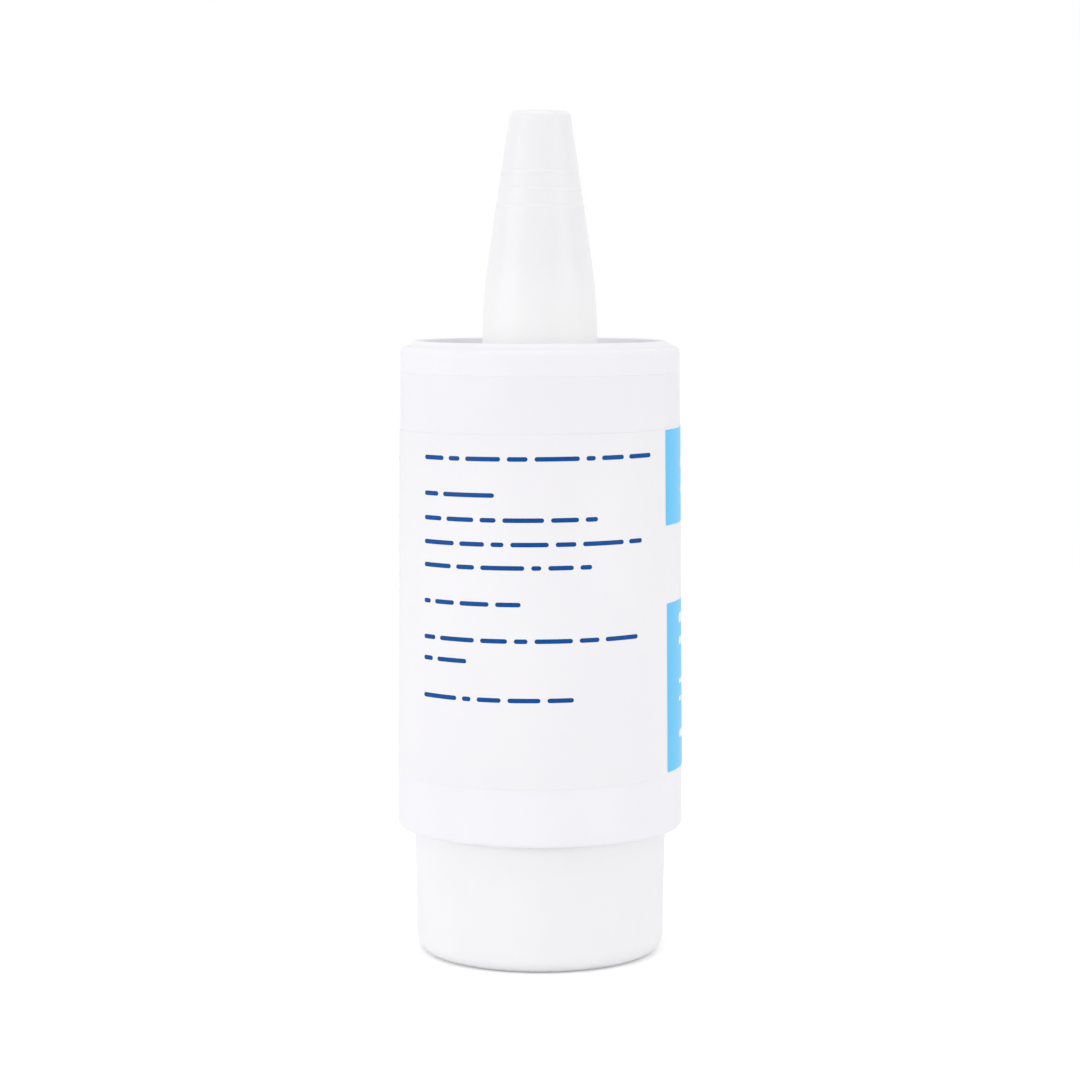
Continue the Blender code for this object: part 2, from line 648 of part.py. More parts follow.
def valve_tube(material):
    """The tube pressed into the nozzle, which takes the stem below and the outlet valve above."""
    flange = NOZZLE_FOOT_RADIUS - FINE_GAP
    profile = [
        (TUBE_RADIUS, TUBE_TOP),
        (TUBE_RADIUS, FLANGE_BASE + TUBE_FLANGE),
        (flange, FLANGE_BASE + TUBE_FLANGE),
        (flange, FLANGE_BASE),
        (TUBE_RADIUS, FLANGE_BASE),
        (TUBE_RADIUS, BOSS_BASE),
        (SOCKET_RADIUS, BOSS_BASE),
        (SOCKET_RADIUS, SOCKET_TOP),
        (VALVE_BORE_RADIUS, SOCKET_TOP),
        (VALVE_BORE_RADIUS, TUBE_TOP),
    ]
    return turned("valve_tube", profile, material, FINE_SIDES)


def outlet_pin(material):
    """The pin whose cone closes the nozzle's orifice from inside."""
    seat_slope = SEAT_CONE_HEIGHT / (VALVE_BORE_RADIUS - ORIFICE_RADIUS)
    head_top = NOZZLE_SEAT_BASE + (VALVE_BORE_RADIUS - PIN_HEAD_RADIUS) * seat_slope - FINE_GAP * 2
    point_top = SEAT_CONE_TOP - FINE_GAP * 2
    head_base = head_top - PIN_HEAD_HEIGHT
    profile = [
        (0.0, point_top),
        (ORIFICE_RADIUS, point_top),
        (PIN_HEAD_RADIUS, head_top),
        (PIN_HEAD_RADIUS, head_base),
        (PIN_SHANK_RADIUS, head_base),
        (PIN_SHANK_RADIUS, head_base - PIN_SHANK_LENGTH),
        (0.0, head_base - PIN_SHANK_LENGTH),
    ]
    return turned("outlet_pin", profile, material, FINE_SIDES), head_base


def cap_side(height):
    """Outer radius of the cap at a height above its foot."""
    curve_radius = CAP_CURVE_HEIGHT / math.sin(CAP_CONE_ANGLE)
    if height <= CAP_CURVE_HEIGHT:
        return CAP_FOOT_RADIUS - curve_radius + math.sqrt(curve_radius ** 2 - height ** 2)
    cone_foot = CAP_FOOT_RADIUS - curve_radius * (1 - math.cos(CAP_CONE_ANGLE))
    return cone_foot - (height - CAP_CURVE_HEIGHT) * math.tan(CAP_CONE_ANGLE)


def protective_cap(material):
    """The tapered see-through cap, with fine grip ribs and a cylindrical foot that grips the nozzle."""
    corner_base = CAP_HEIGHT - CAP_TOP_CORNER - CAP_TOP_CROWN
    corner = cap_side(corner_base) - CAP_TOP_CORNER
    profile = [(0.0, CAP_TOP)]
    profile += arc(corner, CAP_BASE + corner_base, CAP_TOP_CORNER, CAP_TOP_CORNER, 90, 0, 4)
    for rib in reversed(range(CAP_RIBS)):
        middle = CAP_RIB_BASE + rib * CAP_RIB_PITCH
        for shift, proud in CAP_RIB_SHARES:
            height = middle + shift * CAP_RIB_WIDTH
            profile.append((cap_side(height) + proud * CAP_RIB_PROUD, CAP_BASE + height))
    for step in reversed(range(CAP_CURVE_STEPS + 1)):
        height = CAP_CURVE_HEIGHT * step / CAP_CURVE_STEPS
        profile.append((cap_side(height), CAP_BASE + height))
    grip = BAND_RADIUS + SEAT_GAP
    grip_top = BAND_TOP - CAP_BASE
    cone_start = grip_top + CAP_WALL
    roof = CAP_HEIGHT - CAP_ROOF
    profile += [
        (grip, CAP_BASE),
        (grip, CAP_BASE + grip_top),
        (cap_side(cone_start) - CAP_WALL, CAP_BASE + cone_start),
        (cap_side(CAP_CURVE_HEIGHT) - CAP_WALL, CAP_BASE + CAP_CURVE_HEIGHT),
        (cap_side(corner_base) - CAP_WALL, CAP_BASE + corner_base - CAP_WALL),
        (corner - CAP_WALL / 2, CAP_BASE + roof),
        (0.0, CAP_BASE + roof),
    ]
    return turned("protective_cap", profile, material)


def wrap_label(material):
    """The printed film round the sleeve, stuck on slightly askew, with its ends apart at the back."""
    base = SLEEVE_BASE + LABEL_BASE
    middle = sleeve_radius(base + LABEL_HEIGHT / 2)
    edge_allowance = 1 / math.cos(math.pi / SIDES)
    wrap = 2 * math.pi - LABEL_END_GAP / middle
    rise = wrap * middle * math.tan(LABEL_SKEW)
    points = []
    for height in (base + LABEL_HEIGHT, base):
        radius = (sleeve_radius(height) + FILM_GAP) * edge_allowance
        points.append((radius, 0.0, height - rise / 2))
    mesh = bpy.data.meshes.new("wrap_label")
    mesh.from_pydata(points, [(0, 1)], [])
    obj = bpy.data.objects.new("wrap_label", mesh)
    PARTS.objects.link(obj)
    obj.rotation_euler.z = math.pi / 2 + (2 * math.pi - wrap) / 2
    wrapped = obj.modifiers.new("Wrap", "SCREW")
    wrapped.axis = "Z"
    wrapped.angle = wrap
    wrapped.screw_offset = rise
    wrapped.steps = SIDES
    wrapped.render_steps = SIDES
    film = obj.modifiers.new("Film", "SOLIDIFY")
    film.thickness = LABEL_THICKNESS
    film.offset = 1.0
    finish_mesh(obj)
    obj.data.materials.append(material)
    return obj


def group(name, pieces, parent=None):
    """An empty on the bottle's axis that carries the pieces which move together."""
    empty = bpy.data.objects.new(name, None)
    PARTS.objects.link(empty)
    empty.parent = parent
    for piece in pieces:
        piece.parent = empty
    return empty


def build():
    """Make every piece and hang it on the body it moves with."""
    sleeve_white = plastic("sleeve_white", (0.90, 0.90, 0.92), 0.38)
    base_white = plastic("base_white", (0.89, 0.89, 0.92), 0.34)
    cap_natural = plastic("cap_natural", (0.90, 0.91, 0.93), 0.30, alpha=0.55)
    nozzle_white = plastic("nozzle_white", (0.92, 0.92, 0.91), 0.35)
    label_film = plastic("label_film", (0.91, 0.90, 0.92), 0.42)
    natural_pe = plastic("natural_pe", (0.82, 0.83, 0.80), 0.45)
    bag_film = plastic("bag_film", (0.78, 0.80, 0.80), 0.35)
    seal_rubber = plastic("seal_rubber", (0.16, 0.17, 0.18), 0.70)
    spring_steel = plastic("spring_steel", (0.62, 0.63, 0.65), 0.28, metallic=1.0)
    silver_plate = plastic("silver_plate", (0.86, 0.86, 0.84), 0.20, metallic=1.0)
    ball_steel = plastic("ball_steel", (0.72, 0.73, 0.75), 0.12, metallic=1.0)

    return_spring = coil("return_spring", CLOSURE_TOP + SEAT_GAP, FLANGE_BASE - SEAT_GAP,
                         RETURN_COIL_RADIUS, RETURN_WIRE, RETURN_TURNS, RETURN_COIL_POINTS, spring_steel)
    bottle = group("bottle", [
        base_cup(base_white),
        container(natural_pe),
        inner_bag(bag_film),
        neck_gasket(seal_rubber),
        pump_cylinder(natural_pe),
        closure_ring(base_white),
        stem_guide(nozzle_white),
        ball_stop(natural_pe),
        return_spring,
    ])
    pin, pin_head_base = outlet_pin(nozzle_white)
    outlet_spring = coil("outlet_spring", STEM_TOP + FINE_GAP, pin_head_base - FINE_GAP,
                         OUTLET_COIL_RADIUS, OUTLET_WIRE, OUTLET_TURNS, OUTLET_COIL_POINTS, silver_plate)
    head = group("pump_head", [
        outer_sleeve(sleeve_white),
        shoulder_collar(sleeve_white),
        wrap_label(label_film),
        dropper_nozzle(nozzle_white),
        valve_tube(nozzle_white),
        piston_stem(nozzle_white),
        piston_seal(seal_rubber),
        outlet_spring,
    ], bottle)
    group("cap", [protective_cap(cap_natural)], head)
    group("outlet_valve", [pin], head)
    group("inlet_valve", [inlet_ball(ball_steel)], bottle)


clear_scene()
PARTS = bpy.data.collections.new("eye_drop_bottle")
bpy.context.scene.collection.children.link(PARTS)
build()
print("height in mm:", round(CAP_TOP / MM, 2), "sleeve radius in mm:", round(sleeve_radius(SLEEVE_BASE) / MM, 2))
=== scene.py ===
# %% [markdown]
# # Eye drop bottle with a push base
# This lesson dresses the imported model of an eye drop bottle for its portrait. The bottle is a
# white plastic drop pump: a base cup that the thumb pushes, a labelled sleeve that the fingers
# hold, a shoulder collar, a nozzle, and a milky cap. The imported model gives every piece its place,
# so nothing here is measured again: each cell reads the solid it needs and makes it look real.

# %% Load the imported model
import math

import bpy
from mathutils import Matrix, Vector


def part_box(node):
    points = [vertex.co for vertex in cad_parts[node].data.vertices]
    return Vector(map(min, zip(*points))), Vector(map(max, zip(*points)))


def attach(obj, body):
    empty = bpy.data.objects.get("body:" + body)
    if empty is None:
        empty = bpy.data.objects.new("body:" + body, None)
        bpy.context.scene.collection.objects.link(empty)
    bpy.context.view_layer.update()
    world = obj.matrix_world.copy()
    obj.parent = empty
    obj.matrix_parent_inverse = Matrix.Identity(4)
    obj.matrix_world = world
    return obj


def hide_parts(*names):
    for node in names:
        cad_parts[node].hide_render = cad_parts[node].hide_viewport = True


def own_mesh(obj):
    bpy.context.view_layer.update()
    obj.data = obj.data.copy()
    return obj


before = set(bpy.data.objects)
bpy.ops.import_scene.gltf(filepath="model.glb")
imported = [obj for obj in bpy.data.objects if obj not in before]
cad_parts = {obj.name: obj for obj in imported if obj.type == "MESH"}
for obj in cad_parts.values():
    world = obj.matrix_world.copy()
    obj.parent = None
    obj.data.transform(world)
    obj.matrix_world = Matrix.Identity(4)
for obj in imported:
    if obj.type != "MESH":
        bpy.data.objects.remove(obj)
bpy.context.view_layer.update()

MM = 0.001
print("nodes:", sorted(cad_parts))

# %% [markdown]
# ## Reading the outline of a turned piece
# Almost every piece of the bottle is round, and its solid is a ring of flat facets. A smooth copy
# needs the outline that was turned. It could be typed in again, but then the two could drift
# apart, so it is read back from the solid: every vertex is reduced to its radius and height, equal
# places are joined into one, and the mesh edges say which places are neighbours.

# %% Read an outline back from a solid
SAME_PLACE = 0.002 * MM
TOUCHING = SAME_PLACE / 4


def read_outline(node):
    """The outline of a turned node, as points of radius and height, and whether it is closed."""
    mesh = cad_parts[node].data
    places, number_of = [], []
    for vertex in mesh.vertices:
        spot = Vector((math.hypot(vertex.co.x, vertex.co.y), vertex.co.z))
        for number, place in enumerate(places):
            if (place - spot).length < SAME_PLACE:
                break
        else:
            number = len(places)
            places.append(spot)
        number_of.append(number)
    neighbours = [set() for _ in places]
    for edge in mesh.edges:
        a, b = (number_of[v] for v in edge.vertices)
        if a != b:
            neighbours[a].add(b)
            neighbours[b].add(a)
    ends = [number for number, others in enumerate(neighbours) if len(others) == 1]
    chain = [ends[0] if ends else 0]
    while True:
        onward = [n for n in sorted(neighbours[chain[-1]]) if n not in chain]
        if not onward:
            break
        chain.append(onward[0])
    if len(chain) != len(places):
        raise ValueError(f"{node}: only {len(chain)} of {len(places)} places lie on one outline")
    outline = [places[number] for number in chain]
    if ends:
        if outline[0].x > SAME_PLACE:
            outline.insert(0, Vector((0.0, outline[0].y)))
        if outline[-1].x > SAME_PLACE:
            outline.append(Vector((0.0, outline[-1].y)))
    area = sum(a.x * b.y - b.x * a.y for a, b in zip(outline, outline[1:] + outline[:1]))
    if area < 0:
        outline.reverse()
    return outline, not ends


sleeve_outline, _ = read_outline("outer_sleeve")
print("points on the sleeve's outline:", len(sleeve_outline))

# %% [markdown]
# ## Softening the corners
# Nothing that leaves a mould has a knife edge. A Bevel modifier could round the turned mesh, but
# it is cheaper and more even to round the outline before it is turned. Sharp corners get a small
# fillet. Shallow corners belong to a curve that the solid shows in a few steps, so they are bent
# along half of each neighbouring stretch, which gives one flowing line. Two guard points keep the
# shading of a long flat stretch flat right up to its corner. Where two pieces meet in a tight
# seam, a fillet would open a dark groove, so the edges at that height stay crisp.

# %% Round an outline
FILLET = 0.10 * MM
GUARD = 0.12 * MM
SHALLOW = math.radians(35)
STRAIGHT = math.radians(0.5)
CRISP = 0.012 * MM
CURVE_SHARE, FILLET_SHARE = 0.5, 0.4
CURVE_STEPS, FILLET_STEPS = 3, 4


def bend(start, corner, end, steps):
    """Points on a quadratic curve from start to end that leaves towards the corner."""
    points = []
    for step in range(steps + 1):
        t = step / steps
        points.append(start * (1 - t) ** 2 + corner * (2 * t * (1 - t)) + end * t ** 2)
    return points


def soften(outline, closed, fillet=FILLET, seam=None):
    """The outline with its corners rounded, but hardly at the height of a seam."""
    corners = []
    for i, here in enumerate(outline):
        before, after = outline[i - 1], outline[(i + 1) % len(outline)]
        inwards, onwards = here - before, after - here
        at_end = not closed and i in (0, len(outline) - 1)
        turn = 0.0 if at_end else inwards.angle(onwards)
        if turn < STRAIGHT:
            corners.append([here])
            continue
        shorter = min(inwards.length, onwards.length)
        if turn < SHALLOW:
            reach, steps = CURVE_SHARE * shorter, CURVE_STEPS
        else:
            reach, steps = min(fillet, FILLET_SHARE * shorter), FILLET_STEPS
        if seam is not None and abs(here.y - seam) < CRISP:
            reach = CRISP
        start = here - inwards.normalized() * reach
        end = here + onwards.normalized() * reach
        corners.append(bend(start, here, end, steps))
    points = []
    for i, corner in enumerate(corners):
        for point in corner:
            if not points or (point - points[-1]).length > TOUCHING:
                points.append(point)
        if i == len(corners) - 1 and not closed:
            break
        target = corners[(i + 1) % len(corners)][0]
        stretch = target - points[-1]
        if stretch.length > 4 * GUARD:
            step = stretch.normalized() * GUARD
            points += [points[-1] + step, target - step]
    if closed and (points[0] - points[-1]).length < TOUCHING:
        points.pop()
    return points


print("sleeve outline after softening:", len(soften(sleeve_outline, True)), "points")

# %% [markdown]
# ## Turning the outline
# The outline is swept round the upright axis. The Screw modifier does the same job, but writing
# the rings of vertices directly leaves one clean vertex on the axis where a piece is closed, and
# no modifier that would run again in every pose.

# %% Turn an outline into a mesh
def link_object(name, data):
    """A new object in the scene that shows the data."""
    obj = bpy.data.objects.new(name, data)
    bpy.context.scene.collection.objects.link(obj)
    return obj


def mesh_object(name, vertices, faces):
    """A smooth shaded mesh object."""
    mesh = bpy.data.meshes.new(name)
    mesh.from_pydata(vertices, [], faces)
    mesh.shade_smooth()
    return link_object(name, mesh)


def turn_mesh(name, points, closed, sides):
    """A mesh object, the outline turned about Z."""
    vertices, rings, faces = [], [], []
    for point in points:
        if point.x < SAME_PLACE:
            rings.append([len(vertices)] * sides)
            vertices.append((0.0, 0.0, point.y))
            continue
        rings.append(range(len(vertices), len(vertices) + sides))
        for side in range(sides):
            angle = 2 * math.pi * side / sides
            x, y = point.x * math.cos(angle), point.x * math.sin(angle)
            vertices.append((x, y, point.y))
    pairs = list(zip(rings, rings[1:]))
    if closed:
        pairs.append((rings[-1], rings[0]))
    for low, high in pairs:
        for side in range(sides):
            after = (side + 1) % sides
            corners = (low[side], low[after], high[after], high[side])
            faces.append(tuple(dict.fromkeys(corners)))
    return mesh_object(name, vertices, faces)


def finish_piece(obj, body, material, slot, *nodes):
    """Give a piece its material and its body, and hide the solids that it stands for. Its slot is
    not used.
    """
    obj.data.materials.append(material)
    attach(obj, body)
    if nodes:
        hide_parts(*nodes)
    print(f"{obj.name}: {len(obj.data.polygons)} faces on {body}")
    return obj


def turned_piece(name, node, body, material, slot, sides, fillet=FILLET,
                 reshape=None, seam=None):
    """A smooth piece made from the outline of one node, which reshape may adjust first."""
    outline, closed = read_outline(node)
    if reshape:
        reshape(outline)
    obj = turn_mesh(name, soften(outline, closed, fillet, seam), closed, sides)
    return finish_piece(obj, body, material, slot, node)


# %% [markdown]
# ## Shared effects
# Several plastics show the same things at different strengths: soft clouds of tone from the flow
# of the melt, a fine texture from the mould, edges polished by handling, and faint marks from
# fingers and pockets. Each effect is a node group, built once, with named inputs for its strength
# and scale. Copying the nodes into each material would work too, but one group is easier to tune.

# %% Small helpers for node trees
def add_node(tree, kind, values=None, **settings):
    """A new node with some of its settings and unlinked inputs filled in."""
    made = tree.nodes.new(kind)
    for key, value in settings.items():
        setattr(made, key, value)
    for key, value in (values or {}).items():
        made.inputs[key].default_value = value
    return made


def feed(tree, socket, value):
    """Fill a socket from another socket, or with a plain number or colour."""
    if isinstance(value, bpy.types.NodeSocket):
        tree.links.new(value, socket)
    elif isinstance(value, tuple):
        socket.default_value = (*value, 1.0)
    else:
        socket.default_value = value


def maths(tree, operation, first, second, clamp=False):
    """The result of a Math node, from sockets or plain numbers."""
    made = add_node(tree, "ShaderNodeMath", operation=operation, use_clamp=clamp)
    feed(tree, made.inputs[0], first)
    feed(tree, made.inputs[1], second)
    return made.outputs[0]


def remap(tree, value, from_low, from_high, to_low=0.0, to_high=1.0):
    """A value moved from one range to another and kept inside it."""
    made = add_node(tree, "ShaderNodeMapRange")
    tree.links.new(value, made.inputs["Value"])
    keys = ("From Min", "From Max", "To Min", "To Max")
    for key, limit in zip(keys, (from_low, from_high, to_low, to_high)):
        feed(tree, made.inputs[key], limit)
    return made.outputs["Result"]


def blend_colours(tree, factor, first, second):
    """A colour between two others, from sockets or plain colours."""
    made = add_node(tree, "ShaderNodeMix", data_type="RGBA")
    for number, value in ((0, factor), (6, first), (7, second)):
        feed(tree, made.inputs[number], value)
    return made.outputs[2]


def place(tree, stretch=(1.0, 1.0, 1.0)):
    """The position on the piece in metres, stretched along its axes."""
    coordinates = add_node(tree, "ShaderNodeTexCoord")
    mapping = add_node(tree, "ShaderNodeMapping", {"Scale": stretch})
    tree.links.new(coordinates.outputs["Object"], mapping.inputs["Vector"])
    return mapping.outputs["Vector"]


def height_on(tree):
    """The height on the piece in metres."""
    split = add_node(tree, "ShaderNodeSeparateXYZ")
    tree.links.new(place(tree), split.inputs[0])
    return split.outputs["Z"]


def noise(tree, vector, scale, detail=2.0, roughness=0.5, distortion=0.0):
    """The value of a Noise Texture."""
    made = add_node(tree, "ShaderNodeTexNoise",
                    {"Detail": detail, "Roughness": roughness, "Distortion": distortion})
    tree.links.new(vector, made.inputs["Vector"])
    feed(tree, made.inputs["Scale"], scale)
    return made.outputs["Fac"]


def new_group(name, inputs, outputs):
    """An empty shader group with its sockets, and its two end nodes."""
    tree = bpy.data.node_groups.new(name, "ShaderNodeTree")
    for socket_name, kind, value in inputs:
        socket = tree.interface.new_socket(socket_name, in_out="INPUT", socket_type=kind)
        socket.default_value = value
    for socket_name, kind in outputs:
        tree.interface.new_socket(socket_name, in_out="OUTPUT", socket_type=kind)
    given = tree.nodes.new("NodeGroupInput").outputs
    return tree, given, tree.nodes.new("NodeGroupOutput").inputs


NUMBER, COLOUR = "NodeSocketFloat", "NodeSocketColor"

# %% [markdown]
# ## Moulded skin
# Injection moulded plastic looks plain until the light rakes over it. Then it shows broad clouds,
# stretched along the way the melt ran, and the fine bite of the mould's surface. Two noises give
# both: a slow one mixes two close tones and shifts the gloss, and a fast one makes the height.

# %% Build the moulded skin group
skin_group, given, result = new_group(
    "moulded_skin",
    [("Tone", COLOUR, (0.8, 0.8, 0.8, 1.0)), ("Cloud Tone", COLOUR, (0.75, 0.75, 0.75, 1.0)),
     ("Cloud Scale", NUMBER, 160.0), ("Grain Scale", NUMBER, 5000.0),
     ("Roughness Low", NUMBER, 0.3), ("Roughness High", NUMBER, 0.4)],
    [("Colour", COLOUR), ("Roughness", NUMBER), ("Height", NUMBER)])
clouds = noise(skin_group, place(skin_group, (1.0, 1.0, 0.4)), given["Cloud Scale"], 3.0)
grain = noise(skin_group, place(skin_group), given["Grain Scale"], 2.0, 0.6)
cloud_mask = remap(skin_group, clouds, 0.35, 0.65)
clouded = blend_colours(skin_group, cloud_mask, given["Tone"], given["Cloud Tone"])
skin_group.links.new(clouded, result["Colour"])
gloss_mask = maths(skin_group, "ADD", maths(skin_group, "MULTIPLY", cloud_mask, 0.6),
                   maths(skin_group, "MULTIPLY", grain, 0.4))
roughness = remap(skin_group, gloss_mask, 0.1, 0.9,
                  given["Roughness Low"], given["Roughness High"])
skin_group.links.new(roughness, result["Roughness"])
skin_group.links.new(grain, result["Height"])
print("group:", skin_group.name, "with", len(skin_group.nodes), "nodes")

# %% [markdown]
# ## Edge wear
# A bottle that lives in a pocket is polished on its edges first. The Bevel node gives the normal
# that a rounder edge would have. Where it leans away from the true normal there is an edge, and a
# noise breaks the mask up, because hands and keys don't rub evenly.

# %% Build the edge wear group
wear_group, given, result = new_group(
    "edge_wear",
    [("Radius", NUMBER, 0.0003), ("Amount", NUMBER, 0.5), ("Patch Scale", NUMBER, 400.0)],
    [("Wear", NUMBER)])
rounder = add_node(wear_group, "ShaderNodeBevel", samples=4)
wear_group.links.new(given["Radius"], rounder.inputs["Radius"])
true_normal = add_node(wear_group, "ShaderNodeNewGeometry")
lean = add_node(wear_group, "ShaderNodeVectorMath", operation="DOT_PRODUCT")
wear_group.links.new(rounder.outputs["Normal"], lean.inputs[0])
wear_group.links.new(true_normal.outputs["Normal"], lean.inputs[1])
edge_mask = remap(wear_group, lean.outputs["Value"], 0.99, 0.80)
uneven = noise(wear_group, place(wear_group), given["Patch Scale"], 3.0, 0.6)
patches = remap(wear_group, uneven, 0.3, 0.6)
worn = maths(wear_group, "MULTIPLY", edge_mask, patches)
wear_group.links.new(maths(wear_group, "MULTIPLY", worn, given["Amount"]), result["Wear"])
print("group:", wear_group.name, "with", len(wear_group.nodes), "nodes")

# %% [markdown]
# ## Handling marks
# Faint smudges and hairline rubs change the gloss more than the colour. Smudges are a slow noise
# with its low parts cut away. Hairlines are a noise squeezed along one direction and cut to a thin
# band, so that only narrow streaks are left.

# %% Build the handling marks group
marks_group, given, result = new_group(
    "handling_marks",
    [("Smudge Scale", NUMBER, 120.0), ("Hairline Scale", NUMBER, 900.0), ("Amount", NUMBER, 0.5)],
    [("Mask", NUMBER)])
slow = noise(marks_group, place(marks_group), given["Smudge Scale"], 4.0, 0.6, 0.4)
smudges = remap(marks_group, slow, 0.5, 0.75)
squeezed = place(marks_group, (1.0, 1.0, 0.08))
streaks = noise(marks_group, squeezed, given["Hairline Scale"], 1.0, 0.5, 0.3)
hairlines = remap(marks_group, streaks, 0.66, 0.70)
both = maths(marks_group, "MAXIMUM", smudges, maths(marks_group, "MULTIPLY", hairlines, 0.6))
marks_group.links.new(maths(marks_group, "MULTIPLY", both, given["Amount"]), result["Mask"])
print("group:", marks_group.name, "with", len(marks_group.nodes), "nodes")

# %% [markdown]
# ## Plastics
# The opaque plastics are one recipe with different values: the moulded skin gives colour, gloss
# and bump, wear lightens and polishes the edges, and handling marks dull the gloss in places. The
# sleeve and its label get painted light: their colour is about three hundredths lighter at the
# foot than at the head, standing in for light that falls more strongly low down. Light sinks
# about a millimetre into the white of the cup, which softens the shade under the sleeve's edge.
# A single function keeps the recipe in one place, and the shader itself stays in the material.

# %% The recipe for a moulded plastic
PLASTIC_IOR = 1.49
SMUDGE_DULLS, WEAR_POLISHES = 0.12, 0.10


def use_group(tree, group, values):
    """A group node in a material, with its own values."""
    made = add_node(tree, "ShaderNodeGroup", node_tree=group)
    for key, value in values.items():
        feed(tree, made.inputs[key], value)
    return made.outputs


def new_material(name, specular):
    """An empty material with its Principled shader, whose constant sockets are set here."""
    material = bpy.data.materials.new(name)
    material.use_nodes = True
    shader = material.node_tree.nodes["Principled BSDF"]
    shader.inputs["IOR"].default_value = PLASTIC_IOR
    shader.inputs["Specular IOR Level"].default_value = specular
    return material, material.node_tree, shader.inputs


def connect(tree, sockets, colour, roughness, normal):
    """Link what varies over a surface to the sockets of its shader."""
    tree.links.new(colour, sockets["Base Color"])
    tree.links.new(roughness, sockets["Roughness"])
    tree.links.new(normal, sockets["Normal"])


def bump(tree, height, strength, distance):
    """The normal of a Bump node over one height."""
    made = add_node(tree, "ShaderNodeBump", {"Strength": strength, "Distance": distance})
    tree.links.new(height, made.inputs["Height"])
    return made.outputs["Normal"]


def paint_light_by_height(tree, colour, low, high, foot_value, head_value):
    """A colour with painted light: its brightness changes from one height to another."""
    made = add_node(tree, "ShaderNodeHueSaturation")
    tree.links.new(colour, made.inputs["Color"])
    value = remap(tree, height_on(tree), low, high, foot_value, head_value)
    tree.links.new(value, made.inputs["Value"])
    return made.outputs["Color"]


def let_light_in(sockets, share, depth):
    """Let a share of the light sink to a depth, the same for all colours."""
    sockets["Subsurface Weight"].default_value = share
    sockets["Subsurface Radius"].default_value = (1.0, 1.0, 1.0)
    sockets["Subsurface Scale"].default_value = depth


def plastic(name, tone, cloud_tone, roughness, grain_scale=5000.0, relief=0.004 * MM,
            wear=0.5, marks=0.5, worn_tone=(0.93, 0.93, 0.94), specular=0.5,
            painted_light_span=None, depth=0.0):
    """An opaque moulded plastic, into which light may sink to a depth."""
    material, tree, sockets = new_material(name, specular)
    if depth:
        let_light_in(sockets, 0.5, depth)
    skin = use_group(tree, skin_group, {
        "Tone": tone, "Cloud Tone": cloud_tone, "Grain Scale": grain_scale,
        "Roughness Low": roughness[0], "Roughness High": roughness[1]})
    edges = use_group(tree, wear_group, {"Radius": 0.25 * MM, "Amount": wear})
    touched = use_group(tree, marks_group, {"Amount": marks})
    # Painted light: where a span is given, the colour is made lighter towards the foot.
    colour = paint_light_by_height(tree, skin["Colour"], *painted_light_span) if painted_light_span else skin["Colour"]
    worn = blend_colours(tree, edges["Wear"], colour, worn_tone)
    dulling = maths(tree, "MULTIPLY", touched["Mask"], SMUDGE_DULLS)
    polish = maths(tree, "MULTIPLY", edges["Wear"], WEAR_POLISHES)
    dulled = maths(tree, "ADD", skin["Roughness"], dulling)
    rubbed = maths(tree, "SUBTRACT", dulled, polish, clamp=True)
    connect(tree, sockets, worn, rubbed, bump(tree, skin["Height"], 0.6, relief))
    return material


base_white = plastic("base_white", (0.883, 0.880, 0.887), (0.869, 0.866, 0.875), (0.36, 0.44),
                     specular=0.2, depth=1.3 * MM)
# Painted light: the sleeve's colour is lighter towards its foot.
sleeve_white = plastic("sleeve_white", (0.846, 0.840, 0.862), (0.832, 0.826, 0.850), (0.40, 0.48),
                       specular=0.2, painted_light_span=(20.0 * MM, 60.0 * MM, 1.022, 0.996))
collar_white = plastic("collar_white", (0.856, 0.850, 0.868), (0.844, 0.838, 0.858), (0.38, 0.46),
                       specular=0.2)
nozzle_white = plastic("nozzle_white", (0.880, 0.875, 0.870), (0.862, 0.858, 0.852), (0.30, 0.38),
                       wear=0.2)
natural_pe = plastic("natural_pe", (0.780, 0.790, 0.770), (0.740, 0.752, 0.735), (0.40, 0.52),
                     relief=0.008 * MM, wear=0.2, worn_tone=(0.86, 0.87, 0.85))
seal_rubber = plastic("seal_rubber", (0.060, 0.062, 0.066), (0.045, 0.046, 0.050), (0.62, 0.78),
                      grain_scale=7000.0, relief=0.015 * MM, wear=0.25, marks=0.2,
                      worn_tone=(0.16, 0.16, 0.17), specular=0.4)
print("plastics:", [m.name for m in (base_white, sleeve_white, collar_white, nozzle_white,
                                     natural_pe, seal_rubber)])

# %% [markdown]
# ## Milky cap plastic
# The cap is natural polypropylene without pigment. Light enters its thin wall, is scattered
# there, and comes out on both sides, so the cap glows a little and the nozzle inside is no more
# than a soft shade. A rough glass would look grey, because it traps the light that this wall gives
# back. Subsurface scattering over half a millimetre does what the plastic does. The foot hugs
# the white nozzle, which sends more light back. That light is painted in as a whiter colour
# towards the foot, which also lifts the shade of the collar's rim. Fingers have rubbed its gloss
# away.

# %% Milky cap plastic
HUG_BEGINS, CAP_FOOT = 79.0 * MM, 71.5 * MM
FOOT_PAINTED_LIGHT_TONE, FOOT_ROUGHNESS = (0.886, 0.884, 0.879), 0.50
cap_natural, tree, sockets = new_material("cap_natural", 0.5)
let_light_in(sockets, 0.35, 0.5 * MM)
skin = use_group(tree, skin_group, {
    "Tone": (0.826, 0.826, 0.834), "Cloud Tone": (0.814, 0.815, 0.822),
    "Cloud Scale": 220.0, "Grain Scale": 900.0, "Roughness Low": 0.28, "Roughness High": 0.34})
edges = use_group(tree, wear_group, {"Radius": 0.2 * MM, "Amount": 0.3})
